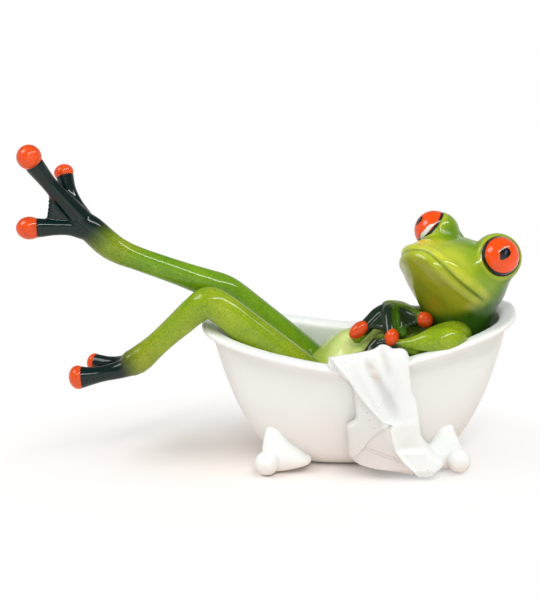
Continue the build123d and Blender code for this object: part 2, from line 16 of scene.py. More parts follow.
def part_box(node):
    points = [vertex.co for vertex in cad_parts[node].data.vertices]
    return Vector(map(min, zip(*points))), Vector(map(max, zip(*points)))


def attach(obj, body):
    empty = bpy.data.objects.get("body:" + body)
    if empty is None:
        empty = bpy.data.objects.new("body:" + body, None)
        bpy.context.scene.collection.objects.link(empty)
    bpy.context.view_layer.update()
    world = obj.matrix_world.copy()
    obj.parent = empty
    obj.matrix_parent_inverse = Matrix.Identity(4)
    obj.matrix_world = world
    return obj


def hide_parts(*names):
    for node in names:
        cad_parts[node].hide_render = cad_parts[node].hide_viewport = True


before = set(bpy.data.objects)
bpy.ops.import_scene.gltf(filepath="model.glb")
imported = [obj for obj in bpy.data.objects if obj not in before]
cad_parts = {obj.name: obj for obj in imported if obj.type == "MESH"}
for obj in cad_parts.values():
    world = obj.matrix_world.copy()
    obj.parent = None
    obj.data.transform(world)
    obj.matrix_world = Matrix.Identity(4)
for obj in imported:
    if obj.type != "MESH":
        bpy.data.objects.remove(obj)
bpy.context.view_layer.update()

# %% [markdown]
# ## Where things are
# All measures are in millimetres from the ground under the middle of the bathtub: X runs to the head
# end, Y away from the towel, Z up. Blender works in metres, so a mesh is scaled and shifted once,
# when it is made. The bathtub's own CAD box says where its middle is.

# %% Measures
MM = 0.001
tub_low, tub_high = (np.array(corner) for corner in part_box("tub_shell"))
TUB_MIDDLE = np.array([(tub_low[0] + tub_high[0]) / 2, (tub_low[1] + tub_high[1]) / 2, 0.0])
print("middle of the bathtub, in metres:", TUB_MIDDLE)

# %% [markdown]
# ## From a grid to a mesh
# Most shapes here are a grid: rows that follow one parameter, columns that go round with the other.
# The columns close on themselves, and the first and last row shrink to a point, so the skin is
# watertight. A mesh could also be pulled about by hand, but a formula can be read and changed.

# %% Skins
def corners_of(grid):
    """A grid's corners, or their colours, row after row; the first and last row become their mean."""
    return np.vstack([grid[0].mean(0)[None], grid[1:-1].reshape(-1, 3), grid[-1].mean(0)[None]])


def skin(grid):
    """Corners and faces of a closed skin: quads between the rows, and a fan of triangles at each end."""
    rows, columns = grid.shape[:2]
    points = corners_of(grid)
    index = 1 + np.arange((rows - 2) * columns).reshape(rows - 2, columns)
    beside = np.roll(index, -1, axis=1)
    quads = np.stack([index[:-1], index[1:], beside[1:], beside[:-1]], -1).reshape(-1, 4)
    last = np.full(columns, len(points) - 1)
    start = np.stack([np.zeros(columns, int), index[0], beside[0]], -1)
    end = np.stack([last, beside[-1], index[-1]], -1)
    return points, quads.tolist() + start.tolist() + end.tolist()


def joined(skins):
    """Several skins as one list of corners and one of faces."""
    points, faces, count = [], [], 0
    for skin_points, skin_faces in skins:
        points.append(skin_points)
        faces += [[corner + count for corner in face] for face in skin_faces]
        count += len(skin_points)
    return np.vstack(points), faces


def raw_mesh(name, points, faces):
    """A mesh whose faces all point outwards."""
    mesh = bpy.data.meshes.new(name)
    mesh.from_pydata(points.tolist(), [], faces)
    work = bmesh.new()
    work.from_mesh(mesh)
    bmesh.ops.recalc_face_normals(work, faces=work.faces)
    work.to_mesh(mesh)
    work.free()
    return mesh


def placed(name, data):
    """An object that carries a mesh, a lamp or a camera, put into the scene."""
    made = bpy.data.objects.new(name, data)
    bpy.context.scene.collection.objects.link(made)
    return made


print("skin of a 4 x 6 grid:", len(skin(np.zeros((4, 6, 3)))[1]), "faces")

# %% [markdown]
# ## Lines and limbs
# A limb is a round profile carried along a smooth line, with its radius given at each joint. The line
# is a Catmull-Rom curve, which goes through every given point, and both ends close in a half ball.

# %% Lines and tubes
LINE_SAMPLES = 400
# A direction that no limb follows, so that a profile can always be turned against it.
SLANTED_UP = np.array([0.13, 0.21, 1.0])


def smooth_rows(rows, count):
    """Rows of numbers at even steps along a Catmull-Rom curve through the given rows:
    p = (2b + (c - a)t + (2a - 5b + 4c - d)t^2 + (3b - a - 3c + d)t^3) / 2 between b and c."""
    rows = np.asarray(rows, float)
    padded = np.vstack([2 * rows[0] - rows[1], rows, 2 * rows[-1] - rows[-2]])
    place = np.linspace(0, len(rows) - 1, count)
    whole = np.minimum(place.astype(int), len(rows) - 2)
    t = (place - whole)[:, None]
    a, b, c, d = (padded[whole + step] for step in range(4))
    return (2 * b + (c - a) * t + (2 * a - 5 * b + 4 * c - d) * t**2 + (3 * b - a - 3 * c + d) * t**3) / 2


def unit(vectors):
    """The same directions with length one."""
    return vectors / np.maximum(np.linalg.norm(vectors, axis=-1, keepdims=True), 1e-9)


def full_turn(count):
    """Angles at even steps once round."""
    return np.linspace(0, 2 * np.pi, count, endpoint=False)


def ways_out(fall, turn):
    """Directions out from a middle: fall is the angle from the pole, and turn goes round it."""
    return np.stack([np.sin(fall) * np.cos(turn), np.sin(fall) * np.sin(turn), np.cos(fall) + 0 * turn], -1)


def tube(rows, count=110, sides=40):
    """A round skin along a line. Rows are x, y, z, radius. A point is centre + radius * cap *
    (cos(turn) side + sin(turn) up), and cap = sqrt(1 - (1 - depth)^2) rounds the two ends."""
    rows = np.asarray(rows, float)
    first = rows[0, :3] + unit(rows[0, :3] - rows[1, :3]) * rows[0, 3]
    last = rows[-1, :3] + unit(rows[-1, :3] - rows[-2, :3]) * rows[-1, 3]
    rows = np.vstack([[*first, rows[0, 3]], rows, [*last, rows[-1, 3]]])
    line = smooth_rows(rows, LINE_SAMPLES)
    walked = np.concatenate([[0], np.cumsum(np.linalg.norm(np.diff(line[:, :3], axis=0), axis=1))])
    spots = walked[-1] * (1 - np.cos(np.linspace(0, np.pi, count))) / 2
    at = np.stack([np.interp(spots, walked, line[:, axis]) for axis in range(4)], 1)
    depth = np.minimum(spots / at[0, 3], (walked[-1] - spots) / at[-1, 3]).clip(0, 1)
    radius = at[:, 3] * np.sqrt(1 - (1 - depth) ** 2)
    ahead = unit(np.gradient(at[:, :3], axis=0))
    side = unit(np.cross(ahead, SLANTED_UP))
    up = np.cross(side, ahead)
    turn = full_turn(sides)[None, :, None]
    ring = np.cos(turn) * side[:, None] + np.sin(turn) * up[:, None]
    return skin(at[:, None, :3] + radius[:, None, None] * ring)


def ball(center, radius, stretch=(1, 1, 1), rows=28, sides=40):
    """A ball, or an egg where the stretch differs by axis: radius times the unit direction."""
    grid = ways_out(np.linspace(0, np.pi, rows)[:, None], full_turn(sides)[None, :])
    return skin(np.array(center) + radius * grid * np.array(stretch))


print("a short limb:", len(tube([(0, 0, 0, 2), (9, 0, 1, 1)])[0]), "corners")

# %% [markdown]
# ## Melting parts together
# A cast hand is one lump: the fingers grow out of the palm with soft webs between them. Tubes that
# overlap are turned into one skin by a Remesh, and a Smooth wears the joins down as a sculptor's
# thumb would. A boolean union would leave hard creases there.

# %% Melt
SMOOTHING = 0.6


def melt(skins, voxel=0.45, rounds=6):
    """One skin from several that overlap: remeshed into voxels (mm), then smoothed in rounds."""
    shape = placed("melting", raw_mesh("melting", *joined(skins)))
    remesh = shape.modifiers.new("one skin", "REMESH")
    remesh.mode = "VOXEL"
    remesh.voxel_size = voxel
    smooth = shape.modifiers.new("soft joins", "SMOOTH")
    smooth.factor = SMOOTHING
    smooth.iterations = rounds
    depsgraph = bpy.context.evaluated_depsgraph_get()
    mesh = bpy.data.meshes.new_from_object(shape.evaluated_get(depsgraph))
    points = np.empty(3 * len(mesh.vertices))
    mesh.vertices.foreach_get("co", points)
    corners = np.empty(len(mesh.loops), int)
    mesh.loops.foreach_get("vertex_index", corners)
    faces = corners.reshape(-1, 4).tolist()
    bpy.data.objects.remove(shape)
    return points.reshape(-1, 3), faces


print("two balls melt into", len(melt([ball((0, 0, 0), 3), ball((4, 0, 0), 2)])[0]), "corners")

# %% [markdown]
# ## Paint by position
# The frog is airbrushed: lime on the limbs runs softly into dark teal on the hands and feet. Each
# corner of a mesh gets a colour worked out from its place, kept in an attribute named paint, and
# the materials read it. The frog's colours are written as they look on a screen and then made
# linear. The whites, the wood and the steel are plain enough to be given as linear light.

# %% Colours
def linear(red, green, blue):
    """A screen colour as the linear light that Blender mixes: ((c + 0.055) / 1.055)^2.4 above 0.04."""
    screen = np.array([red, green, blue], float)
    return np.where(screen <= 0.04045, screen / 12.92, ((screen + 0.055) / 1.055) ** 2.4)


LIME = linear(0.62, 0.70, 0.12)
GRASS = linear(0.48, 0.64, 0.08)
LEAF = linear(0.33, 0.53, 0.06)
MOSS = linear(0.19, 0.35, 0.06)
SNOUT = linear(0.73, 0.78, 0.20)
YELLOW = linear(0.86, 0.84, 0.28)
GOLD = linear(0.90, 0.86, 0.16)
OLIVE = linear(0.58, 0.59, 0.13)
PALE = linear(0.90, 0.94, 0.62)
TEAL = linear(0.0, 0.115, 0.115)
ORANGE = linear(0.97, 0.34, 0.09)
DEEP_ORANGE = linear(0.80, 0.20, 0.07)
IRIS = linear(0.99, 0.31, 0.02)
BLACK = linear(0.05, 0.04, 0.06)
WHITE = linear(0.93, 0.93, 0.91)
RUST = linear(0.66, 0.36, 0.12)
# A pale grey-green for a painted highlight on the chin.
CHIN_HIGHLIGHT = linear(0.70, 0.73, 0.48)
# A blue-grey for a painted highlight in the pupils.
GLINT = linear(0.36, 0.42, 0.50)


def ease(values, start, end):
    """Zero before start, one after end, and 3t^2 - 2t^3 between them."""
    t = ((values - start) / (end - start)).clip(0, 1)
    return t * t * (3 - 2 * t)


def blend(under, over, share):
    """One colour laid over another by a share from 0 to 1 at each corner."""
    return under + (over - under) * np.asarray(share)[..., None]


def sprayed(base, count, layers):
    """Paint for a number of corners: a base colour, then layers of (colour, share) over one another."""
    paint = np.tile(base, (count, 1))
    for colour, share in layers:
        paint = blend(paint, colour, share)
    return paint


def bell(value, width):
    """A soft bump: one where the value is zero, and exp(-(value / width)^2) away from there."""
    return np.exp(-((value / width) ** 2))


def distance(points, place):
    """How far each point lies from a place."""
    return np.linalg.norm(points - np.array(place, float), axis=-1)


WAVE_COUNT = 5


def waves(points, size, seed):
    """Soft blotches from -1 to 1: the mean of a few sine waves that run in slanted directions."""
    rng = np.random.default_rng(seed)
    total = np.zeros(len(points))
    for _ in range(WAVE_COUNT):
        way = unit(rng.normal(size=3)) * 2 * np.pi / (size * rng.uniform(0.7, 1.4))
        total += np.sin(points @ way + rng.uniform(0, 2 * np.pi))
    return total / WAVE_COUNT


print("lime in linear light:", LIME.round(3))

# %% [markdown]
# ## Finishes
# Every finish is built from nodes, so it holds at any size and needs no picture. A small helper adds
# a node with its settings and links, which keeps each recipe short enough to read.

# %% Node helper
def new_material(name):
    """An empty material with its Principled shader."""
    material = bpy.data.materials.new(name)
    material.use_nodes = True
    return material, material.node_tree, material.node_tree.nodes["Principled BSDF"]


def feed(tree, node, inputs):
    """Fills a node's inputs; each is a number, a colour or another node's output, which is linked."""
    for key, value in inputs.items():
        if isinstance(value, bpy.types.NodeSocket):
            tree.links.new(value, node.inputs[key])
        else:
            node.inputs[key].default_value = value


def add(tree, kind, inputs=None, **settings):
    """A new node with its inputs and settings."""
    node = tree.nodes.new("ShaderNode" + kind)
    for key, value in settings.items():
        setattr(node, key, value)
    feed(tree, node, inputs or {})
    return node


def grain(tree, scale, detail=3.0, roughness=0.55, kind="Noise"):
    """A noise on Object coordinates; scale counts its bumps per metre."""
    place = add(tree, "TexCoord").outputs["Object"]
    if kind == "Voronoi":
        return add(tree, "TexVoronoi", {"Vector": place, "Scale": scale}).outputs["Distance"]
    inputs = {"Vector": place, "Scale": scale, "Detail": detail, "Roughness": roughness}
    return add(tree, "TexNoise", inputs).outputs["Fac"]


def ranged(tree, value, low, high, to_low=0.0, to_high=1.0):
    """A value stretched from one range to another, and held inside it."""
    inputs = {"Value": value, "From Min": low, "From Max": high, "To Min": to_low, "To Max": to_high}
    return add(tree, "MapRange", inputs).outputs["Result"]


def mixed(tree, share, first, second, how="MIX"):
    """Two colours mixed by a share."""
    node = add(tree, "Mix", data_type="RGBA", blend_type=how)
    sockets = [socket for socket in node.inputs if socket.enabled]
    for socket, value in zip(sockets, (share, first, second)):
        if isinstance(value, bpy.types.NodeSocket):
            tree.links.new(value, socket)
        elif isinstance(value, (int, float)):
            socket.default_value = value
        else:
            socket.default_value = (*value, 1.0)
    return next(socket for socket in node.outputs if socket.enabled)


def worked_out(tree, operation, *values):
    """A Math node's result."""
    return add(tree, "Math", dict(enumerate(values)), operation=operation).outputs[0]


def bumped(tree, shader, height, strength, depth):
    """Small relief on the shader: strength from 0 to 1, depth in metres."""
    bump = add(tree, "Bump", {"Height": height, "Strength": strength, "Distance": depth})
    feed(tree, shader, {"Normal": bump.outputs["Normal"]})


print("helpers are ready")

# %% [markdown]
# ## Glazed skin
# The resin is painted, flecked with yellow and dark green, and then lacquered. So the colour comes
# from the paint attribute with two sizes of fleck over it, and a clear coat makes the highlights.
# A glossy base alone would look like plastic: the coat over a duller base gives the depth.

# %% Skin material
# How many light and dark flecks lie side by side in a metre.
LIGHT_FLECKS, DARK_FLECKS = 1500, 1100


def lacquered(name, fleck, dark, coat, roughness):
    """Paint attribute with light and dark flecks under a clear coat."""
    material, tree, shader = new_material(name)
    colour = add(tree, "Attribute", attribute_name="paint").outputs["Color"]
    patches = ranged(tree, grain(tree, 130, 4), 0.35, 0.68)
    colour = mixed(tree, patches, colour, mixed(tree, 1.0, colour, (0.78, 0.86, 0.70), "MULTIPLY"))
    light = ranged(tree, grain(tree, LIGHT_FLECKS, 3, 0.65), 0.53, 0.68, 0.0, fleck)
    colour = mixed(tree, light, colour, mixed(tree, 1.0, colour, (1.8, 1.5, 1.2), "MULTIPLY"))
    shade = ranged(tree, grain(tree, DARK_FLECKS, 3, 0.65), 0.48, 0.33, 0.0, dark)
    colour = mixed(tree, shade, colour, mixed(tree, 1.0, colour, (0.34, 0.50, 0.32), "MULTIPLY"))
    uneven = ranged(tree, grain(tree, 60), 0.3, 0.7, roughness - 0.07, roughness + 0.07)
    feed(tree, shader, {"Base Color": colour, "Roughness": uneven, "Specular IOR Level": 0.05,
                        "Coat Weight": coat, "Coat Roughness": 0.10})
    bumped(tree, shader, grain(tree, 420, 3), 0.08, 0.0004)
    return material


SKIN = lacquered("lacquered frog skin", 0.75, 0.55, 0.75, 0.45)
SMOOTH_PAINT = lacquered("lacquered smooth paint", 0.12, 0.16, 0.80, 0.40)
print("light flecks are about", round(1000 / LIGHT_FLECKS, 2), "mm apart")

# %% [markdown]
# ## White casting
# The bathtub and the towel are white resin: a soft satin with faint unevenness and the odd casting
# pit. The towel is duller, and carries more pits, because bubbles were caught in its folds. The white
# is painted warmer and darker near the ground, as a painted shade with the floor's warm light, and
# cooler and brighter as painted light inside the bowl, on the feet and on the towel's upper layer;
# this tone is painted on the corners like the frog's colours.

# %% White materials
def white_resin(name, roughness, coat, pit_share, relief):
    """Satin white from the paint attribute, with a slow change of tone, small pits and unevenness."""
    material, tree, shader = new_material(name)
    cloud = ranged(tree, grain(tree, 35, 3), 0.3, 0.7)
    colour = add(tree, "Attribute", attribute_name="paint").outputs["Color"]
    colour = mixed(tree, cloud, colour, mixed(tree, 1.0, colour, (0.97, 0.97, 0.965), "MULTIPLY"))
    dots = ranged(tree, grain(tree, 420, kind="Voronoi"), 0.12, 0.07)
    patch = ranged(tree, grain(tree, 75, 2), 0.52, 0.62, 0.0, pit_share)
    pits = worked_out(tree, "MULTIPLY", dots, patch)
    colour = mixed(tree, pits, colour, (0.30, 0.31, 0.30))
    uneven = ranged(tree, grain(tree, 90), 0.3, 0.7, roughness - 0.06, roughness + 0.06)
    feed(tree, shader, {"Base Color": colour, "Roughness": uneven,
                        "Coat Weight": coat, "Coat Roughness": 0.25})
    bumped(tree, shader, worked_out(tree, "SUBTRACT", grain(tree, 260, 3), pits), relief, 0.0005)
    return material


CHALK = np.array([0.87, 0.87, 0.85])
# Painted shade near the ground, warm with the floor's light, and painted light, cooler and brighter.
FLOOR_SHADE_CHALK = np.array([0.87, 0.81, 0.765])
LIT_CHALK = np.array([0.92, 0.955, 0.95])


def resin_paint(points, painted_light):
    """Off-white: a painted shade, warmer and darker, near the ground, with the floor's warm light in it;
    and painted light, cooler and brighter, where the second argument is 1.
    """
    return sprayed(CHALK, len(points), [(FLOOR_SHADE_CHALK, ease(-points[:, 2], -34, -2)), (LIT_CHALK, painted_light)])


TUB_WHITE = white_resin("satin white resin", 0.42, 0.30, 0.25, 0.10)
TOWEL_WHITE = white_resin("matt white resin", 0.55, 0.12, 1.0, 0.25)
print("whites:", TUB_WHITE.name, "and", TOWEL_WHITE.name)

# %% [markdown]
# ## Wood and wire inside
# The neck dowel and the leg wires are hidden in the castings. Their CAD pieces are kept as they are
# and given a plain wood and a drawn steel, so a cut through the model still reads rightly.

# %% Hidden materials
def streaked(name, dark, light, metal, roughness, stretch):
    """Long streaks: a noise whose coordinates are squeezed along one axis."""
    material, tree, shader = new_material(name)
    place = add(tree, "TexCoord").outputs["Object"]
    drawn = add(tree, "Mapping", {"Vector": place, "Scale": stretch}).outputs["Vector"]
    streaks = add(tree, "TexNoise", {"Vector": drawn, "Scale": 900.0, "Detail": 4.0}).outputs["Fac"]
    colour = mixed(tree, ranged(tree, streaks, 0.3, 0.7), dark, light)
    feed(tree, shader, {"Base Color": colour, "Metallic": metal, "Roughness": roughness})
    bumped(tree, shader, streaks, 0.2, 0.0001)
    return material


WOOD = streaked("beech dowel", (0.42, 0.25, 0.12), (0.62, 0.42, 0.24), 0.0, 0.6, (1.0, 1.0, 0.08))
WIRE = streaked("drawn steel wire", (0.42, 0.42, 0.43), (0.62, 0.62, 0.63), 1.0, 0.35, (0.1, 1.0, 1.0))
for node_name, hidden in (("neck_dowel", WOOD), ("leg_wire_left", WIRE), ("leg_wire_right", WIRE)):
    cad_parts[node_name].data.materials.clear()
    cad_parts[node_name].data.materials.append(hidden)
print("kept CAD pieces: neck_dowel, leg_wire_left, leg_wire_right")

# %% [markdown]
# ## One visible piece
# Each piece is a mesh in metres with its object at the origin. It rides on the one rigid body, hides
# the CAD nodes that it stands for, and takes its material.

# %% Pieces
def piece(name, shape, material, nodes, paint):
    """Puts a shape in millimetres into the scene, with its paint at each corner."""
    points, faces = shape
    mesh = raw_mesh(name, TUB_MIDDLE + MM * points, faces)
    mesh.shade_smooth()
    mesh.materials.append(material)
    layer = mesh.attributes.new("paint", "FLOAT_COLOR", "POINT")
    layer.data.foreach_set("color", np.hstack([paint, np.ones((len(paint), 1))]).ravel())
    made = placed(name, mesh)
    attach(made, "root")
    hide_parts(*nodes)
    print(name, len(faces), "faces,", (points.max(0) - points.min(0)).round(1), "mm")


# %% [markdown]
# ## The bathtub
# A slipper bath: an oval bowl whose walls lean out, under a rolled lip that dips by the towel and
# climbs at both ends. Every row of the grid is a superellipse, |x/a|^n + |y/b|^n = 1. The rows walk
# up the outside, round the lip and down the inside, as a potter's profile would.

# %% Bathtub shape
TUB_LENGTH, TUB_WIDTH, TUB_HEIGHT = 142.0, 68.6, 51.3
TUB_CLEARANCE, LIP_OVERHANG, LIP_THICKNESS, TUB_WALL, TUB_FLOOR = 1.2, 4.8, 3.2, 3.0, 9.5
TUB_TURNS, SETTLING_ROUNDS = 300, 6
# The power of its ovals, then where the lip is lowest and how it rises to the foot and head ends.
TUB_POWER = 2.5
LIP_LOW_X, FOOT_RISE, HEAD_RISE, RISE_POWER = -0.018 * TUB_LENGTH, 13.1, 16.7, 1.24
# The head end is drawn in a little, to where the photograph has it.
TUB_DRAWN_IN = 0.989
# Height share between underside and lip, half length and half width as shares at the lip.
TUB_ROWS = np.array([
    (0.0, 0.56, 0.60), (0.1, 0.672, 0.74), (0.31, 0.778, 0.85),
    (0.62, 0.885, 0.945), (1.04, 0.98, 1.0), (1.45, 1.03, 1.03),
])


def rim_height(x):
    """Height of the lip's top: the low middle plus a rise towards each end, share^1.24 of the whole."""
    foot = ((LIP_LOW_X - x) / (LIP_LOW_X + TUB_LENGTH / 2)).clip(0) ** RISE_POWER
    head = ((x - LIP_LOW_X) / (TUB_LENGTH / 2 - LIP_LOW_X)).clip(0) ** RISE_POWER
    return TUB_HEIGHT + FOOT_RISE * foot + HEAD_RISE * head


def wall_half(height):
    """Half length and half width of the bathtub's outside at a height."""
    share = (height - TUB_CLEARANCE) / (TUB_HEIGHT - TUB_CLEARANCE)
    rows = smooth_rows(TUB_ROWS, 200)
    length = (TUB_LENGTH / 2 - LIP_OVERHANG) * np.interp(share, rows[:, 0], rows[:, 1])
    width = (TUB_WIDTH / 2 - LIP_OVERHANG) * np.interp(share, rows[:, 0], rows[:, 2])
    return length, width


def oval(half_length, half_width, squareness, turns=TUB_TURNS):
    """One turn of a superellipse: x = a |cos|^(2/n), y = b |sin|^(2/n), with their signs."""
    turn = full_turn(turns)
    x = half_length * np.sign(np.cos(turn)) * np.abs(np.cos(turn)) ** (2 / squareness)
    y = half_width * np.sign(np.sin(turn)) * np.abs(np.sin(turn)) ** (2 / squareness)
    return x, y


def wall_row(share, inset, drop):
    """A row of the wall, a share of the way from the foot of the wall to just under the lip."""
    height = np.full(TUB_TURNS, TUB_HEIGHT)
    bottom = TUB_CLEARANCE if inset == 0 else TUB_CLEARANCE + TUB_FLOOR
    # How far out a point lies depends on its height, and its height on that: a few rounds settle it.
    for _ in range(SETTLING_ROUNDS):
        length, width = wall_half(height)
        x, y = oval(length - inset, width - inset, TUB_POWER)
        height = bottom + share * (rim_height(x) - drop - bottom)
    return np.stack([x, y, height], -1)


def lip_row(out, down):
    """A row of the lip: out from the wall's line, and down from the lip's top."""
    share = np.clip(out / LIP_OVERHANG, -1, 1)
    length, width = (size / 2 - LIP_OVERHANG + out for size in (TUB_LENGTH, TUB_WIDTH))
    x, y = oval(length, width, TUB_POWER + 0.1 * share)
    return np.stack([x, y, rim_height(x) - down], -1)


def floor_row(share, inset):
    """A row of the underside or the floor, a share of the way out from the middle."""
    edge = wall_row(0.0, inset, LIP_THICKNESS)
    return edge * np.array([share, share, 1.0])


LIP_PROFILE = [
    (0.9, 3.7), (2.0, 3.35), (3.4, 3.2), (4.3, 2.75), (4.75, 2.0), (4.8, 1.3), (4.5, 0.65), (3.8, 0.2),
    (2.8, 0.0), (1.2, 0.0), (-0.4, 0.1), (-1.6, 0.5), (-2.5, 1.2), (-3.0, 2.3), (-3.2, 3.6),
]
UNDERSIDE_SHARES = (0.0, 0.4, 0.8, 0.93)
UNDERSIDE_HOLLOW = 1.2
OUTER_ROWS, LIP_ROWS, INNER_ROWS = 46, 60, 40
rows = [floor_row(share, 0) for share in UNDERSIDE_SHARES]
rows += [wall_row(share, 0, 5.0) for share in np.linspace(0, 1, OUTER_ROWS) ** 1.15]
rows += [lip_row(out, down) for out, down in smooth_rows(LIP_PROFILE, LIP_ROWS)]
rows += [wall_row(share, TUB_WALL, 6.0) for share in np.linspace(1, 0, INNER_ROWS)]
rows += [floor_row(share, TUB_WALL) for share in (0.9, 0.7, 0.35, 0.0)]
tub_grid = np.stack(rows)
underside = len(UNDERSIDE_SHARES)
tub_grid[:underside, :, 2] += UNDERSIDE_HOLLOW * (1 - np.linspace(0, 1, underside) ** 2)[:, None]
tub_grid[..., 0] = (tub_grid[..., 0] + TUB_LENGTH / 2) * TUB_DRAWN_IN - TUB_LENGTH / 2
tub_shape = skin(tub_grid)

# The painted light that makes the inside cooler and brighter starts on the outer turn of the lip and is
# full on its crest.
lip_turn, lip_crest = (underside + OUTER_ROWS + step for step in (14, 38))
row_painted_light = ease(np.arange(1.0, len(rows) - 1), lip_turn, lip_crest)
painted_light = np.concatenate([[0.0], np.repeat(row_painted_light, TUB_TURNS), [1.0]])
piece("bathtub", tub_shape, TUB_WHITE, ["tub_shell"], resin_paint(tub_shape[0], painted_light))

# %% [markdown]
# ## Claw feet
# Each foot is a ball in front of a soft three-cornered leaf that leans up the bathtub's side and runs
# out towards the middle. They are one casting, so the ball and the leaf are melted together.

# %% Feet of the bathtub
# Level, outer edge and inner edge of the leaf, then how thick and how far out it is there.
LEAF_ROWS = np.array([
    (0.5, 40.5, 31.0, 3.6, 21.6), (1.6, 43.0, 24.0, 5.0, 22.0), (3.6, 44.8, 22.8, 5.6, 22.0),
    (6.0, 45.0, 25.4, 5.6, 21.6), (9.0, 45.0, 28.8, 5.2, 21.0), (12.0, 44.9, 32.2, 4.8, 20.2),
    (15.5, 44.4, 35.4, 4.2, 19.2), (18.2, 43.8, 37.4, 3.6, 18.2), (19.8, 42.8, 39.4, 2.2, 17.6),
])
KNOB_RADIUS = 5.4


def tub_foot(side_x, side_y, lean):
    """A pillow-like leaf, whose level sections are superellipses of power 3, melted to a ball. Its
    tip leans towards the middle of the bathtub by the lean."""
    rows = smooth_rows(LEAF_ROWS, 60)
    level, outer, inner, thick, out = (rows[:, i:i + 1] for i in range(5))
    wave_x, wave_y = oval(1, 1, 3, 72)
    x = (outer + inner) / 2 + (outer - inner) / 2 * wave_x - lean * ease(level, 5.0, 19.0)
    lift = 0.16 * (38.0 - x).clip(0) * (1 - level / 19.6)
    leaf = skin(np.stack([x, out + thick * wave_y, level + lift], -1))
    knob = ball((42.5, 26.9, KNOB_RADIUS + 0.1), KNOB_RADIUS, (1, 1, 1), 40, 56)
    points, faces = melt([leaf, knob], 0.38, 2)
    return points * np.array([side_x, side_y, 1.0]), faces


for end, side_x, lean in (("foot_end", -1, 0.9), ("head_end", 1, 3.0)):
    for flank, side_y in (("left", -1), ("right", 1)):
        node = f"tub_foot_{end}_{flank}"
        foot_shape = tub_foot(side_x, side_y, lean)
        # Painted light: each foot is painted cooler and brighter from a little above the ground up.
        paint = resin_paint(foot_shape[0], 0.9 * ease(foot_shape[0][:, 2], 3, 9))
        piece("claw_" + node, foot_shape, TUB_WHITE, [node], paint)

# %% [markdown]
# ## The belly
# Little of the body shows between the thighs and the hands, but it carries the rest. Its sections
# across the body are ellipses whose top, bottom and width are read off a smooth table.

# %% Torso
# Place along the bathtub, top, bottom and half width, all in millimetres.
BODY_ROWS = np.array([
    (-33.0, 30.0, 25.0, 3.0), (-30.0, 36.0, 17.0, 8.0), (-22.0, 45.5, 12.0, 16.0),
    (-12.0, 55.0, 11.5, 20.0), (-4.0, 58.5, 11.5, 21.5), (17.0, 62.0, 12.0, 21.5),
    (32.0, 62.5, 21.0, 18.5), (42.0, 61.0, 33.0, 12.5), (49.0, 56.5, 41.0, 6.5), (52.0, 51.0, 46.0, 2.5),
])
sections = smooth_rows(BODY_ROWS, 130)
turn = full_turn(110)
half_tall = (sections[:, 1] - sections[:, 2]) / 2
middle = (sections[:, 1] + sections[:, 2]) / 2
body_grid = np.stack([
    sections[:, :1] + 0 * turn,
    sections[:, 3:] * np.cos(turn),
    middle[:, None] + half_tall[:, None] * np.sin(turn),
], -1)
body_shape = skin(body_grid)
body_points = body_shape[0]
body_x = body_points[:, 0]
# The pale patch is a painted highlight over the paler belly: a tall oval, so the distance from it counts
# less along Y and Z.
from_highlight = distance(body_points * (1, 0.8, 0.25), (-6.0, -9.0, 13.5))
paint = sprayed(LIME, len(body_points), [
    (PALE, 0.3 + 0.6 * ease(-from_highlight, -11.5, -5.0)),
    (LEAF, ease(body_x, 14, 34)),
    (MOSS, ease(body_x, 36, 52)),
    (LEAF, (0.3 + 0.3 * waves(body_points, 16, 4)) * ease(body_x, 0, 24)),
])
piece("belly_and_back", body_shape, SMOOTH_PAINT, ["torso"], paint)

# %% [markdown]
# ## The head's own axes
# The head is turned and tipped, so it is easiest to shape it in its own axes: across to the frog's
# left, forward, and up, from a point midway between the eyes.

# %% Head axes
HEAD_MIDDLE = np.array([46.6, 0.0, 98.7])
HEAD_LEFT = np.array([0.723, -0.672, -0.159])
HEAD_FORWARD = np.array([-0.544, -0.696, 0.469])
HEAD_UP = np.cross(HEAD_FORWARD, HEAD_LEFT)
HEAD_AXES = np.stack([unit(HEAD_LEFT), unit(HEAD_FORWARD), unit(HEAD_UP)])


def to_head(points):
    """From the bathtub's axes to the head's."""
    return (np.asarray(points, float) - HEAD_MIDDLE) @ HEAD_AXES.T


def from_head(points):
    """From the head's axes to the bathtub's."""
    return HEAD_MIDDLE + np.asarray(points, float) @ HEAD_AXES


# The eyes sit in rings that far to each side of the head's middle, and stand that far out of them.
EYE_HALF_SPACING, RING_RADIUS, DOME_HEIGHT = 19.6, 8.6, 7.0
DOME_RADIUS = (RING_RADIUS**2 + DOME_HEIGHT**2) / (2 * DOME_HEIGHT)
EYE_SPLAY, EYE_RISE = math.radians(44.5), math.radians(12)


def eye_axis(side):
    """Where an eye looks, in the head's axes: splayed out from forward and raised a little."""
    flat = math.cos(EYE_RISE)
    return np.array([side * math.sin(EYE_SPLAY) * flat, math.cos(EYE_SPLAY) * flat, math.sin(EYE_RISE)])


print("left eye looks to", (eye_axis(1) @ HEAD_AXES).round(2))

# %% [markdown]
# ## The head
# The skull is an egg with a broad flat mouth, two mounds carry the eyes, and a neck runs down into
# the body. Each is a signed distance, and a soft minimum runs them together without a crease. From
# a point inside the skull a ray goes out in every direction, and halving finds where it leaves.

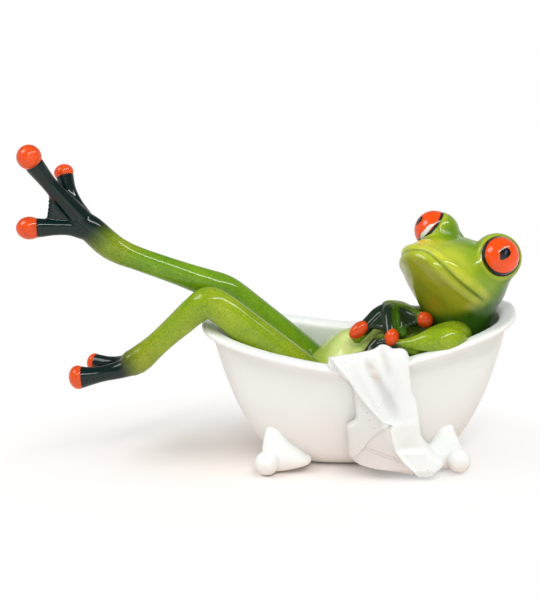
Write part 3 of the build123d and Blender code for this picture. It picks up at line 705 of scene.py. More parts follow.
# %% Skull distance
# Level, front, back and half width of the skull, in the head's axes.
SKULL_ROWS = np.array([
    (-40.0, -8.0, -14.0, 3.0), (-37.0, -4.0, -18.0, 9.0), (-33.0, 2.0, -20.0, 14.0),
    (-27.5, 13.2, -21.0, 19.0), (-22.0, 22.4, -21.5, 21.5), (-17.0, 26.4, -21.5, 22.0),
    (-12.5, 25.2, -21.0, 21.6), (-7.0, 18.5, -20.0, 19.5), (-2.5, 9.0, -18.0, 15.5),
    (0.6, 1.0, -15.0, 10.0), (2.2, -4.0, -10.0, 4.0),
])
skull_table = smooth_rows(SKULL_ROWS, 240)
SKULL_MIDDLE = np.array([0.0, 0.0, -16.0])


def soft_min(first, second, width):
    """The smaller of two distances, rounded where they are within a width of each other."""
    gap = (width - np.abs(first - second)).clip(0) / width
    return np.minimum(first, second) - gap * gap * width / 4


def skull(p):
    """Distance outside the skull's level ovals, which are blunt behind and longer in front."""
    level = p[..., 2]
    front, back, half = (np.interp(level, skull_table[:, 0], skull_table[:, i]) for i in (1, 2, 3))
    widest = -0.13 * (front - back) + (front + back) / 2
    reach = np.where(p[..., 1] > widest, front - widest, widest - back)
    oval_share = np.sqrt((p[..., 0] / half) ** 2 + ((p[..., 1] - widest) / reach) ** 2)
    beyond = np.maximum(skull_table[0, 0] - level, level - skull_table[-1, 0])
    return np.maximum((oval_share - 1) * np.minimum(half, reach), beyond * 2)


def capsule(p, start, end, start_radius, end_radius):
    """Distance outside a round bar with ball ends, whose radius changes evenly along it."""
    start, end = np.array(start, float), np.array(end, float)
    run = end - start
    share = (((p - start) @ run) / (run @ run)).clip(0, 1)
    radius = start_radius + share * (end_radius - start_radius)
    return np.linalg.norm(p - (start + share[..., None] * run), axis=-1) - radius


# How far in front of the ring a mound is cut off.
LID_LEVEL = 0.35
# For each side: radius of the mound, how far its middle lies behind the ring, radius and place of its root.
MOUNDS = {1: (10.9, 5.3, 10.6, 8.0, -12.0), -1: (9.7, 4.1, 9.0, 9.0, -11.0)}
NECK_FOOT = to_head([(47.0, 1.0, 50.0)])[0]


def head_distance(p):
    """Skull, neck and eye mounds, each mound cut off flat at the ring of its eye."""
    total = soft_min(skull(p), capsule(p, (0, -6, -22), NECK_FOOT, 14.5, 12.5), 3.5)
    total = soft_min(total, capsule(p, (8, -12, -15), (5, -13, -29), 12.3, 12.0), 5.0)
    for side, (radius, setback, root_radius, root_across, root_level) in MOUNDS.items():
        axis = eye_axis(side)
        ring = np.array([side * EYE_HALF_SPACING, 0, 0])
        root = np.array([side * root_across, -9.0, root_level])
        mound = capsule(p, root, ring - axis * setback, root_radius, radius)
        flat = (p - ring) @ axis - LID_LEVEL
        mound = -soft_min(-mound, -flat, 1.6)
        total = soft_min(total, mound, 5.0)
    return total


HEAD_ROWS, HEAD_TURNS, HALVINGS = 300, 320, 26
# Every ray is still inside the head at the first distance from its middle, and outside at the second.
RAY_INSIDE, RAY_OUTSIDE = 4.0, 62.0


def cast_rays(middle, body):
    """Where rays from the middle leave a body, given as a signed distance that is below zero inside:
    the stretch between a place inside and one outside is halved again and again."""
    ways = ways_out(np.linspace(0, np.pi, HEAD_ROWS)[:, None], full_turn(HEAD_TURNS)[None, :])
    near, far = (np.full(ways.shape[:2], reach) for reach in (RAY_INSIDE, RAY_OUTSIDE))
    for _ in range(HALVINGS):
        reach = (near + far) / 2
        within = body(middle + reach[..., None] * ways) < 0
        near, far = np.where(within, reach, near), np.where(within, far, reach)
    return middle + near[..., None] * ways


head_grid = cast_rays(SKULL_MIDDLE, head_distance)
print("head spans", np.ptp(head_grid.reshape(-1, 3), axis=0).round(1), "mm")

# %% [markdown]
# ## The mouth
# One long line runs from cheek to cheek, high in the middle and low at the corners, with a full lip
# above it and below it. Each corner of the mesh finds its nearest point on the line; its distance
# above or below then drives a groove and two swellings, as exp(-(d/width)^2).

# %% Mouth
MOUTH_SAMPLES = 121


def mouth_line():
    """Points of the mouth from the right corner to the left one."""
    share = np.linspace(-1, 1, MOUTH_SAMPLES)
    spread = np.abs(share)
    forward = 24.2 * (1 - spread**2.9)
    level = -12.0 - 8.5 * spread**1.4
    return np.stack([21.3 * share, forward, level], -1)


def grid_normals(grid):
    """Outward directions of a grid's corners, from the steps along its rows and columns."""
    along = np.gradient(grid, axis=0)
    around = np.roll(grid, -1, axis=1) - np.roll(grid, 1, axis=1)
    return unit(np.cross(around, along)) * -1


def beside_line(points, normals, line):
    """For each point of a grid: its share along the line, how far above the line it lies, how far past
    the line's end, and how far off its nearest sample."""
    flat = points.reshape(-1, 3)
    gaps = np.linalg.norm(flat[:, None] - line[None], axis=2)
    nearest = gaps.argmin(1)
    ahead = unit(np.gradient(line, axis=0))[nearest]
    above = np.cross(normals.reshape(-1, 3), ahead)
    above *= np.sign(above[:, 2:3] + 1e-9)
    away = flat - line[nearest]
    offset = np.einsum("ij,ij->i", away, unit(above))
    slip = np.abs(np.einsum("ij,ij->i", away, ahead))
    measures = nearest / (len(line) - 1), offset, slip, gaps.min(1)
    return [measure.reshape(points.shape[:2]) for measure in measures]


normals = grid_normals(head_grid)
outwards = np.sign(np.einsum("ijk,ijk->ij", normals, head_grid - SKULL_MIDDLE).mean())
normals *= outwards
share, offset, slip, gap = beside_line(head_grid, normals, mouth_line())
near_mouth = ease(-gap, -9.0, -6.0) * ease(-slip, -2.5, -0.8)
corner_fade = ease(-np.abs(2 * share - 1), -1.0, -0.9)
lips = 0.95 * bell(offset - 2.4, 2.0) + 0.9 * bell(offset + 2.3, 1.8)
groove = 0.95 * bell(offset, 0.55)
head_grid = head_grid + normals * ((lips - groove) * near_mouth * corner_fade)[..., None]
mouth_gap = np.where(near_mouth * corner_fade > 0.02, np.abs(offset), 99.0)
print("deepest part of the mouth line:", groove.max().round(2), "mm")

# %% [markdown]
# ## Painting the head
# Lime over the snout, gold on the upper lip, olive under the chin, and dark green behind: each is a
# soft mask in the head's own axes, laid over the one before, as an airbrush would. Some layers are
# painted light and shade: moss over the back of the head and on the neck under the chin, and a pale
# grey-green highlight on the chin.

# %% Head paint
local = head_grid.reshape(-1, 3)
across, forward, level = local.T
lip_offset, lip_gap = offset.ravel(), gap.ravel()
beside, _, height = from_head(local).T
under = ease(-level, 11.5, 17.0) * ease(-lip_offset, -1.0, 1.5)
at_back = ease(-forward, -1, 13) * ease(-level, -2, 4)
gold = bell(across + 9, 7) * bell(forward - 17, 6) * ease(level, -13, -9)
top_blotches = (0.5 + 0.5 * waves(local, 5, 21)).clip(0, 1) * ease(-forward, -12, 2) * ease(level, -12, -6)
crease = bell(mouth_gap.ravel(), 0.42)
paint = sprayed(SNOUT, len(local), [
    (GRASS, ease(-forward, -22, -2) * 0.75),
    (LEAF, (0.25 + 0.35 * waves(local, 15, 2)) * ease(-forward, -16, -2)),
    (OLIVE, under * ease(forward, -14, 6)),
    (YELLOW, ease(-np.abs(lip_offset - 2.6), -3.4, -0.6) * ease(-lip_gap, -6, -2.5) * 0.45),
    (GOLD, gold * 0.85),
    (SNOUT, ease(-np.abs(lip_offset + 2.4), -2.4, -0.4) * ease(-lip_gap, -4.5, -2) * 0.6),
    (LEAF, at_back * (0.85 + 0.15 * waves(local, 9, 6))),
    (LEAF, top_blotches * 0.5),
    # Painted shade: moss darkens the back of the head.
    (MOSS, at_back * 0.40),
    (MOSS, ease(-forward, 4, 16) * 0.75),
    (MOSS, ease(-forward, -6, 4) * ease(-level, 12, 21) * (0.55 + 0.4 * waves(local, 8, 8))),
    # Painted shade: moss green on the neck under the chin.
    (MOSS, ease(-height + 0.28 * (beside - 46), -75, -69) * 0.92),
    # Painted highlight: a pale grey-green sheen on the chin.
    (CHIN_HIGHLIGHT, ease(-distance(local, (-12.5, 20.0, -23.0)), -5.0, -3.0) * 0.55),
    (RUST, ease(-distance(local, (3.5, 9.5, -36.5)), -3.0, -0.8) * 0.45),
    (MOSS, crease * 0.6),
])
for side in (1, -1):
    ring = np.array([side * EYE_HALF_SPACING, 0, 0])
    offset_out = (local - ring) @ eye_axis(side)
    spread = np.linalg.norm(local - ring - offset_out[:, None] * eye_axis(side), axis=1)
    lid = ease(-np.abs(spread - RING_RADIUS - 1.1), -1.3, -0.3) * ease(offset_out, -3.5, -1.0)
    rim = ease(-np.abs(spread - RING_RADIUS), -0.45, -0.15) * ease(offset_out, -1.0, 0.0)
    paint = blend(blend(paint, YELLOW, lid * 0.35), BLACK, rim)
head_shape = skin(from_head(head_grid))
paint = corners_of(paint.reshape(*head_grid.shape))
piece("head_and_neck", head_shape, SMOOTH_PAINT, ["head"], paint)

# %% [markdown]
# ## The eyes
# Each eye is a glossy dome. Its orange iris sits a little off centre in a black ring, the pupil is a
# teardrop, and the far eye shows a sliver of white. The rows of the dome run from its top outwards,
# so the paint is a function of how far a corner lies from the axis and on which side.

# %% Eyes
EYE_ROWS, EYE_TURNS = 150, 200
PUPIL_HALF_LENGTH, PUPIL_HALF_WIDTH = 3.1, 2.2


def eye(name, node, side, iris_shift, iris_radius, pupil, pupil_turn, pupil_size, crescent):
    """A ball of the dome's radius with its paint. Shift and pupil are places (up, across) in mm, and
    crescent is the way to the middle of a white sliver at the rim, or None."""
    axis = eye_axis(side)
    up = unit(np.array([0, 0, 1.0]) - axis * axis[2])
    aside = np.cross(axis, up)
    fall = np.linspace(0, 1, EYE_ROWS)[:, None] ** 0.8 * math.radians(125)
    high, wide, out = np.moveaxis(ways_out(fall, full_turn(EYE_TURNS)[None, :]), -1, 0)
    middle = np.array([side * EYE_HALF_SPACING, 0, 0]) - axis * (DOME_RADIUS - DOME_HEIGHT)
    grid = middle + DOME_RADIUS * (high[..., None] * up + wide[..., None] * aside + out[..., None] * axis)
    high, wide = DOME_RADIUS * high, DOME_RADIUS * wide
    paint = np.tile(BLACK, (*high.shape, 1))
    seen = out > 0
    from_iris = np.hypot(high - iris_shift[0], wide - iris_shift[1])
    paint = blend(paint, IRIS, ease(-from_iris, -iris_radius - 0.12, -iris_radius + 0.12) * seen)
    if crescent is not None:
        from_axis = np.hypot(high, wide)
        toward = (high * crescent[0] + wide * crescent[1]) / from_axis.clip(1e-6)
        inner = 8.25 - 0.95 * ease(toward, 0.76, 0.97)
        sliver = ease(from_axis - inner, 0.0, 0.12) * ease(-from_axis, -8.30, -8.15) * seen
        paint = blend(paint, WHITE, sliver)
    c, s = math.cos(pupil_turn), math.sin(pupil_turn)
    long = ((high - pupil[0]) * c + (wide - pupil[1]) * s) / (PUPIL_HALF_LENGTH * pupil_size)
    short = (-(high - pupil[0]) * s + (wide - pupil[1]) * c) / (PUPIL_HALF_WIDTH * pupil_size)
    bulge = np.sqrt((1 - long**2).clip(1e-6)) * (1 + 0.4 * long)
    paint = blend(paint, BLACK, ease(bulge - np.abs(short), -0.05, 0.08) * (np.abs(long) < 1) * seen)
    # A painted highlight: a blue-grey glint in the upper part of the pupil.
    glint = np.hypot((high - pupil[0] - 0.9) / 1.4, (wide - pupil[1] - 0.3) / 0.75) / pupil_size
    paint = blend(paint, GLINT, ease(-glint, -1.0, -0.45) * 0.55 * seen)
    piece(name, skin(from_head(grid)), EYE_GLAZE, [node], corners_of(paint))


EYE_GLAZE = lacquered("glossy eye enamel", 0.03, 0.04, 1.0, 0.30)
eye("eye_dome_left", "eye_left", 1, (0.30, 0.05), 7.85, (-0.1, -0.35), math.radians(10), 1.0, None)
eye("eye_dome_right", "eye_right", -1, (0.20, 0.35), 8.0, (-0.9, 2.0), 0.0, 0.8, (-0.42, 0.91))

# %% [markdown]
# ## Legs and feet
# One leg hangs over the rim with its foot in the air, the other is kicked up. Thigh, shin and foot
# are one casting, so each leg is a chain of tapering tubes melted into one, and the toes flare
# where they carry their orange ends. A thin skin is stretched between two toes of the raised foot.

# %% Leg shapes
WEB_STRIPS = 8


def web_skin(root, first, second, thickness, droop):
    """A thin curved skin between two toes or fingers: tubes side by side from their root to a drooping
    edge, that the melt runs together."""
    root, first, second = (np.array(place, float) for place in (root, first, second))
    strips = []
    for share in np.linspace(0.06, 0.94, WEB_STRIPS):
        edge = first + (second - first) * share
        inner = edge + (root - edge) * droop * (1 - abs(2 * share - 1) * 0.45)
        middle = (root + inner) / 2
        strips.append(tube([(*root, thickness), (*middle, thickness), (*inner, thickness * 0.8)], 30, 16))
    return strips


# Joints from the hip to the foot, and from the palm to each toe: x, y, z and radius.
LEFT_LEG = [
    (-16, -11, 33, 8.0), (-22, -11, 38, 9.0), (-36, -11, 50.5, 8.6), (-50, -10.8, 63, 7.8),
    (-60.5, -10.5, 72.2, 7.3), (-67.0, -10.2, 75.8, 6.9), (-73.0, -9.8, 72.2, 6.4), (-79, -9.2, 66.8, 6.0),
    (-85.5, -8.2, 60.8, 5.5), (-92, -7.4, 54.8, 5.4), (-98.6, -6.8, 49.0, 6.1), (-102.4, -6.6, 46.6, 6.0),
]
LEFT_TOES = [
    [(-100.5, -6.8, 46.8, 5.4), (-108, -7.6, 43.8, 4.1), (-116, -8.5, 42.2, 3.6), (-122.5, -8.9, 41.2, 4.3),
     (-126.0, -9.0, 40.8, 5.0)],
    [(-101.5, -5.2, 46.8, 4.6), (-109, 0.2, 43.8, 3.6), (-115, 3.4, 42.6, 3.5), (-120.9, 6.2, 42.3, 3.9)],
    [(-101.0, -4.0, 45.2, 4.0), (-108.4, 1.2, 41.0, 3.2), (-116.0, 5.6, 37.2, 3.4)],
]
RIGHT_LEG = [
    (-16, 11, 32, 8.0), (-22, 11, 38, 9.0), (-34, 10.2, 50, 8.6), (-48, 8.8, 63.6, 8.0),
    (-57, 7.8, 72.2, 7.6), (-62.0, 7.2, 76.2, 7.2), (-69, 6.6, 79.6, 6.4), (-80, 6.0, 84.2, 5.6),
    (-98.2, 4.6, 91.7, 5.3), (-107, 3.9, 95.8, 5.8), (-112.7, 3.4, 100.0, 6.2), (-119.0, 2.6, 106.6, 6.0),
    (-124.0, 2.2, 111.0, 5.2),
]
RIGHT_TOES = [
    [(-122.5, 2.2, 110.8, 4.8), (-129.2, 1.2, 119.2, 4.2), (-135.7, 0, 128.0, 3.5),
     (-141.2, -2.0, 136.8, 4.3)],
    [(-122.5, 3.2, 111.0, 4.6), (-126.4, 5.9, 117.6, 3.7), (-129.0, 8.4, 123.4, 3.4),
     (-130.7, 11.0, 129.0, 3.9)],
    [(-121.5, 1.8, 106.8, 4.8), (-128.4, 0.2, 108.2, 3.6), (-134.5, -1.6, 108.8, 3.5),
     (-141.6, -3.4, 109.3, 4.3)],
]


def painted_leg(points, base, ankle, toward, start, end, heel):
    """Leaf blotches over the base, darker to the hip and olive to the heel. Past the ankle's place
    (x, z), measured along the way toward the toes, teal begins at start and is full at end."""
    past = (ankle[0] - points[:, 0]) * toward[0] + (points[:, 2] - ankle[1]) * toward[1]
    return sprayed(base, len(points), [
        (LEAF, 0.24 + 0.3 * waves(points, 22, 7)),
        (MOSS, ease(points[:, 0], -40, -18) * 0.30),
        (OLIVE, ease(past, start - 14, start) * heel),
        (TEAL, ease(past + 1.5 * waves(points, 9, 3), start, end)),
    ])


left_leg = melt([tube(LEFT_LEG, 150, 44)] + [tube(toe) for toe in LEFT_TOES])
piece("leg_and_foot_left", left_leg, SKIN, ["leg_left", "foot_left"],
      painted_leg(left_leg[0], LIME, (-101.0, 46.0), (1.0, -0.35), -6.0, 8.0, 0.55))
right_leg = melt([tube(RIGHT_LEG, 170, 44)] + [tube(toe) for toe in RIGHT_TOES]
                 + web_skin((-122.5, 2, 110.8), (-135.6, 0.4, 125.5), (-137.8, -2.0, 110.5), 1.5, 0.05))
piece("leg_and_foot_right", right_leg, SKIN, ["leg_right", "foot_right"],
      painted_leg(right_leg[0], GRASS, (-112.0, 100.5), (0.58, 0.81), -4.0, 11.0, 0.45))

# %% [markdown]
# ## Orange toe ends
# Dipped in orange and lacquered, the toe ends are round pads, a little larger than the toes. Each is
# an egg turned to its toe; where the photograph shows only a cap, the toe reaches further into it.

# %% Toe ends
def turned_egg(center, toward, radius, length):
    """An egg whose long axis points a given way: the ball's axes swapped for the toe's own. Radius is
    half its width, and length half its length."""
    ahead = unit(np.array(toward, float))
    side = unit(np.cross(ahead, (0.2, 0.1, 1.0)))
    up = np.cross(side, ahead)
    points, faces = ball((0, 0, 0), radius, (1, 1, length / radius), 40, 48)
    return np.array(center) + points @ np.stack([side, up, ahead]), faces


def tips(name, node, eggs, seed):
    """The orange ends of one foot or hand, with soft blotches of a deeper orange."""
    shape = joined([turned_egg(*egg) for egg in eggs])
    paint = sprayed(ORANGE, len(shape[0]), [(DEEP_ORANGE, 0.22 + 0.22 * waves(shape[0], 5, seed))])
    piece(name, shape, SMOOTH_PAINT, [node], paint)


tips("toe_ends_left", "toe_tips_left", [
    ((-127.4, -9.0, 40.8), (-1, -0.06, -0.1), 5.4, 4.2),
    ((-121.9, 6.7, 42.2), (-1, 0.5, 0), 4.2, 3.3),
    ((-118.0, 7.2, 36.6), (-1, 0.6, -0.35), 3.9, 3.6),
], 11)
tips("toe_ends_right", "toe_tips_right", [
    ((-143.5, -3.0, 141.1), (-0.55, -0.2, 0.8), 5.5, 5.5),
    ((-131.2, 11.8, 130.6), (-0.25, 0.4, 0.85), 4.4, 3.7),
    ((-145.4, -3.9, 109.4), (-1, -0.15, 0.05), 5.1, 5.9),
], 12)

# %% [markdown]
# ## Arms and hands
# The near forearm is plump and lies along the rim with its elbow out. The far hand lies over the near
# one: three dark fingers with skins between them drape over the knuckles towards the viewer.

# %% Arm shapes
# Joints from the shoulder to the hand, and from the hand to each finger: x, y, z and radius.
LEFT_ARM = [
    (42.0, -7.0, 57.0, 7.0), (42.6, -12.5, 60.0, 6.4), (40.5, -16.5, 61.8, 5.6), (36.5, -18.5, 62.0, 5.2),
    (32.0, -19.5, 61.0, 4.8),
]
LEFT_FOREARM = [
    (41.0, -18.0, 60.0, 4.6), (41.2, -23.0, 60.9, 4.8), (36.6, -24.4, 61.2, 6.3), (30.2, -24.4, 61.2, 5.3),
    (25.0, -24.4, 60.4, 3.7), (20.4, -23.2, 59.5, 2.5), (17.0, -21.4, 58.3, 2.6), (13.5, -19.2, 57.2, 3.4),
]
LEFT_FINGERS = [
    [(13.5, -19.0, 57.2, 3.4), (9.4, -18.0, 59.2, 3.1), (6.0, -19.0, 57.2, 2.9), (2.6, -20.4, 53.4, 2.7),
     (-1.4, -20.9, 52.4, 2.6), (-3.0, -20.9, 51.8, 2.6)],
    [(13.5, -19.2, 57.0, 3.4), (8.0, -19.8, 56.6, 3.0), (4.2, -20.4, 54.6, 2.8), (2.8, -20.8, 53.0, 2.7)],
    [(14.0, -19.4, 57.0, 3.4), (11.0, -20.6, 55.0, 2.9), (9.8, -20.8, 52.2, 2.7)],
    [(14.5, -19.8, 57.2, 3.4), (19.0, -21.6, 56.6, 3.0), (23.6, -22.6, 56.4, 2.6)],
]
RIGHT_ARM = [
    (48.5, 9.0, 58.0, 7.5), (44.0, 14.8, 60.4, 7.0), (39.0, 20.0, 61.2, 6.2), (35.6, 21.0, 60.8, 5.6),
    (30.2, 15.4, 60.0, 4.6), (23.0, 8.2, 62.4, 4.5), (17.5, 2.6, 66.0, 4.8), (13.2, -2.4, 68.2, 4.6),
]
RIGHT_FINGERS = [
    [(13.2, -3.0, 68.2, 4.2), (8.0, -7.2, 67.8, 3.4), (4.4, -10.4, 65.4, 3.2), (1.0, -12.6, 62.6, 3.1),
     (-1.6, -13.6, 59.4, 2.6)],
    [(13.2, -4.0, 68.4, 4.2), (12.4, -9.8, 69.0, 3.3), (12.6, -15.0, 65.8, 3.0), (13.0, -18.4, 62.4, 3.0)],
    [(14.2, -3.0, 68.2, 4.2), (19.8, -5.6, 68.2, 3.5), (24.2, -9.4, 67.0, 3.2), (27.0, -11.2, 66.7, 3.1)],
    [(14.5, -6.0, 68.0, 3.4), (17.2, -12.0, 66.0, 2.4), (18.2, -15.6, 61.6, 2.2)],
]
RIGHT_WEBS = [
    ((12.4, -5.6, 69.6), (2.8, -12.4, 64.4), (12.0, -17.4, 64.0)),
    ((14.4, -5.6, 69.6), (13.6, -17.8, 62.4), (26.2, -11.8, 65.6)),
]


def painted_arm(points, hand, stretch, start, end):
    """Lime on the arm, darker to the shoulder. Teal fills an oval round the hand's middle, full up to
    the start and gone at the end, both as distances in the stretched space of the oval."""
    gone = np.linalg.norm((points - np.array(hand)) / np.array(stretch), axis=1)
    return sprayed(LIME, len(points), [
        (LEAF, 0.25 + 0.3 * waves(points, 14, 5)),
        (MOSS, ease(points[:, 0], 40, 54) * 0.5),
        (TEAL, ease(-gone - 1.2 * waves(points, 8, 9), -end, -start) * 0.96),
    ])


def hand_melt(arms, fingers, webs):
    """An arm's tubes, given as rows and ring counts, melted with its fingers and the skins between."""
    parts = [tube(rows, count, 44) for rows, count in arms] + [tube(finger, 60, 28) for finger in fingers]
    return melt(parts + [strip for web in webs for strip in web_skin(*web, 1.9, 0.08)], 0.4, 4)


left_arm = hand_melt([(LEFT_ARM, 90), (LEFT_FOREARM, 130)], LEFT_FINGERS, [])
piece("arm_and_hand_left", left_arm, SKIN, ["arm_left", "hand_left"],
      painted_arm(left_arm[0], (7.0, -20.0, 55.5), (1.3, 1.0, 0.62), 8.0, 13.5))
right_arm = hand_melt([(RIGHT_ARM, 130)], RIGHT_FINGERS, RIGHT_WEBS)
hand_x, _, hand_z = right_arm[0].T
right_paint = painted_arm(right_arm[0], (13.0, -10.0, 64.0), (1.35, 1.0, 0.9), 9.5, 14.0)
# Green shows again between two fingers, on a finger's end and under the first finger, and a lighter green
# along the top is a painted highlight.
stripe = distance(right_arm[0] * (1, 0.15, 0.15), (15.4, -1.65, 9.9))
finger_end = distance(right_arm[0], (18.2, -15.6, 61.0))
for colour, share in (
    (LEAF, ease(-stripe, -2.4, -0.6) * 0.75),
    (LEAF, ease(-finger_end, -5.5, -2.0) * 0.75),
    (GRASS, ease(hand_z + 0.25 * hand_x, 75.0, 77.5) * 0.5),
    (GRASS, ease(-hand_z, -61.6, -60.4) * (hand_x < 4) * 0.8),
):
    right_paint = blend(right_paint, colour, share)
piece("arm_and_hand_right", right_arm, SKIN, ["arm_right", "hand_right"], right_paint)
tips("finger_ends_left", "finger_tips_left", [
    ((-3.8, -21.0, 50.8), (-0.4, 0, -1), 3.1, 3.3),
    ((2.6, -20.9, 51.8), (0, 0.1, -1), 3.1, 3.3),
    ((9.7, -20.8, 50.9), (0.1, 0.1, -1), 3.0, 3.1),
], 13)
tips("finger_ends_right", "finger_tips_right", [
    ((-0.9, -13.8, 62.9), (-1.0, -0.25, -0.85), 3.3, 5.0),
    ((13.3, -19.8, 61.2), (-0.15, -0.35, -0.95), 3.2, 4.3),
    ((28.2, -12.2, 66.7), (0.6, -0.5, -0.5), 3.5, 3.8),
], 14)

# %% [markdown]
# ## The towel
# It is cast with the rest, hard and thick, but it was sculpted to look like cloth thrown over the
# rim. Its outer side is a sheet that starts inside the bathtub, rolls over the lip and falls to the
# ground. Down the sheet every row has its own left and right edge, and layers and folds are heights
# over that sheet. The back of each row lies against the bathtub.

# %% Towel shape
TOWEL_DOWN, TOWEL_ACROSS, TOWEL_BACK = 340, 170, 24
# The share of the rows that climb inside the bathtub to the lip, the level that they start from, the
# level from which the outline is read, and the level of the lowest row.
TOWEL_CLIMB, TOWEL_START, TOWEL_OVER, TOWEL_FOOT = 0.20, 47.0, 60.0, 1.5
# Height, left edge and right edge of the towel's outline.
TOWEL_EDGES = np.array([
    (TOWEL_FOOT, 22.6, 29.6), (2.4, 17.6, 31.2), (3.8, 10.6, 32.4), (6.6, -0.6, 34.6), (8.8, -4.2, 35.0),
    (11.4, -6.1, 32.0), (16.0, -6.3, 28.4), (22.0, -6.6, 25.8), (26.0, -7.0, 25.2), (27.6, -5.0, 25.0),
    (29.8, -3.0, 24.8), (35.4, -3.4, 24.2), (41.8, -3.9, 23.3), (45.0, -4.8, 22.2), (49.3, -7.5, 20.9),
    (53.5, -11.2, 20.5), (57.0, -14.4, 20.2), (60.0, -14.4, 20.2),
])
# Place along the bathtub and height of the bunched top.
TOWEL_TOP = np.array([
    (-15.5, 55.6), (-11.0, 57.4), (-4.0, 58.6), (4.0, 60.2), (8.6, 62.6), (11.6, 62.0), (13.3, 60.8),
    (16.5, 60.8), (18.6, 59.8), (19.8, 57.8), (20.6, 55.0), (21.5, 52.0),
])


def towel_top(x):
    """Height of the bunched top at a place along the bathtub."""
    return np.interp(x, *smooth_rows(TOWEL_TOP, 80).T)


def fold_line(height, rows):
    """Where a fold stands along the bathtub, at a height; a row is a height and a place."""
    rows = np.array(rows, float)
    order = rows[:, 0].argsort()
    return np.interp(height, rows[order, 0], rows[order, 1])


# The upper layer's left edge, the lower layer's turned-back edge, the main valley and the main ridge.
FLAP_EDGE = [(64, -16), (57.8, -14.4), (49.3, -7.5), (38.2, -0.3), (31, 5.7), (28, 8.1), (26.6, 12.5),
             (24, 11.5), (19.9, 12.4), (14.1, 13.8), (9.3, 16.9), (5.3, 21.3), (0, 24.0)]
TURNED_EDGE = [(5.0, -8.5), (11.0, -5.8), (12.9, -1.8), (17.7, 1.8), (22.4, 5.8), (26.6, 12.0), (60, 40)]
VALLEY = [(60, -2), (53.2, 0.7), (47.6, 3.7), (40, 7.2), (33.3, 10.2), (28.1, 12.0)]
RIDGE = [(64, 11), (52, 15.5), (43.7, 17.2), (36.6, 18), (20, 20), (0, 26)]
# The hem's two lines of stitching: where the upper one runs, and how far the lower one lies below it.
HEM_LINE = np.array([(10.4, 15.0), (11.8, 9.7), (13.8, 5.3), (15.8, 0.9)])
HEM_WIDTH, HEM_LOW, HEM_HIGH = 1.3, 9.6, 16.2


def towel_relief(x, z):
    """How far the outer side stands out: steps where a layer starts, rounded ridges, a stitched hem."""
    flap = fold_line(z, FLAP_EDGE)
    top_layer = ease(x - flap, -0.5, 0.7)
    relief = 2.7 * top_layer + 0.7 * bell(x - flap - 1.0, 0.9)
    turned = ease(fold_line(z, TURNED_EDGE) - x, -0.4, 0.6) * (1 - top_layer) * ease(-z, -36, -30)
    relief = relief + 1.9 * turned
    for drop in (0.0, HEM_WIDTH):
        hem = fold_line(z, HEM_LINE - (drop, 0))
        inside = (z > HEM_LOW - drop) * (z < HEM_HIGH - drop)
        relief = relief - 0.55 * bell(x - hem, 0.9) * inside * (1 - top_layer)
    valley, ridge = fold_line(z, VALLEY), fold_line(z, RIDGE)
    relief = relief - 4.4 * bell(x - valley - 2.4, 2.5) * top_layer * ease(z, 26, 38) * ease(-z, -61, -50)
    relief = relief + 1.3 * bell(x - ridge, 2.2) * ease(z, 22, 34)
    relief = relief + 1.0 * bell(x - valley + 2.2, 2.0) * top_layer * ease(z, 26, 36)
    relief = relief - 2.6 * bell(x - ridge + 4.4, 1.7) * ease(z, 42, 54) * ease(-z, -70, -64)
    relief = relief - 2.0 * bell(x - 12.5, 3.6) * ease(z, 24, 29) * ease(-z, -48, -38)
    relief = relief + 0.7 * bell(z - 27.0, 2.2) * ease(x, 8, 12)
    # Near the foot the cloth sags, and then steps out where it meets the ground.
    sag = ease(-z, -26.5, -22.5) * ease(z, 12.8, 15.6) * ease(-z, -28, -16) * ease(x, 11.5, 19)
    return relief - 2.3 * sag


def towel_grid():
    """Rows down the sheet; a row's columns run across the outer side and back along the wall. Up to
    the lip a row's height follows a quarter of a sine, and from there it falls evenly."""
    edges = smooth_rows(TOWEL_EDGES, 300)
    down = np.linspace(0, 1, TOWEL_DOWN)[:, None]
    across = np.linspace(0, 1, TOWEL_ACROSS)[None, :]
    climbing, climb = down < TOWEL_CLIMB, down / TOWEL_CLIMB
    fall = ((down - TOWEL_CLIMB) / (1 - TOWEL_CLIMB)).clip(0, 1)
    edge_z = TOWEL_OVER + (TOWEL_FOOT - TOWEL_OVER) * fall
    left, right = (np.interp(edge_z, edges[:, 0], edges[:, side]) for side in (1, 2))
    x = left + (right - left) * across
    top = towel_top(x)
    height = np.where(climbing, TOWEL_START + (top - TOWEL_START) * np.sin(np.pi / 2 * climb),
                      TOWEL_FOOT + (top - TOWEL_FOOT) * (1 - fall))
    # How far the sheet stands from the middle line: more past the lip and near the ground, less at its
    # sides and at its very foot.
    over = ((down - 0.10) / 0.22).clip(0, 1)
    reach = 25.5 + 10.6 * np.sin(np.pi / 2 * over)
    reach = reach + 0.8 * ease(-height, -12, -3) - 3.0 * (2 * across - 1) ** 16
    reach = reach - 2.0 * ease(-height, -5.5, -2.6)
    stand = towel_relief(x, height) * ease(down, 0.12, 0.24)
    reach = reach + stand * 0.8 - 1.6 * ease(down, 0.2, 0.3)
    # The lip's round edge always stays covered.
    over_lip = 34.9 - 0.9 * ((height - rim_height(x) + 1.7) / 2.2) ** 2
    outer = np.stack([x, -np.where(down > 0.15, np.maximum(reach, over_lip), reach), height], -1)
    back_x = left + (right - left) * np.linspace(1, 0, TOWEL_BACK)[None, :]
    back_top = towel_top(back_x) - 4.0
    back_z = np.where(climbing, TOWEL_START + (back_top - TOWEL_START) * climb,
                      TOWEL_FOOT + (back_top - TOWEL_FOOT) * (1 - fall))
    length, width = wall_half(np.minimum(back_z, 48.0))
    wall = width * (1 - np.abs(back_x / length).clip(0, 1) ** TUB_POWER) ** (1 / TUB_POWER)
    back_y = np.where(climbing, -25.0 - 6 * climb, -np.minimum(wall - 0.8, 31.0))
    return np.concatenate([outer, np.stack([back_x, back_y, back_z], -1)], axis=1)


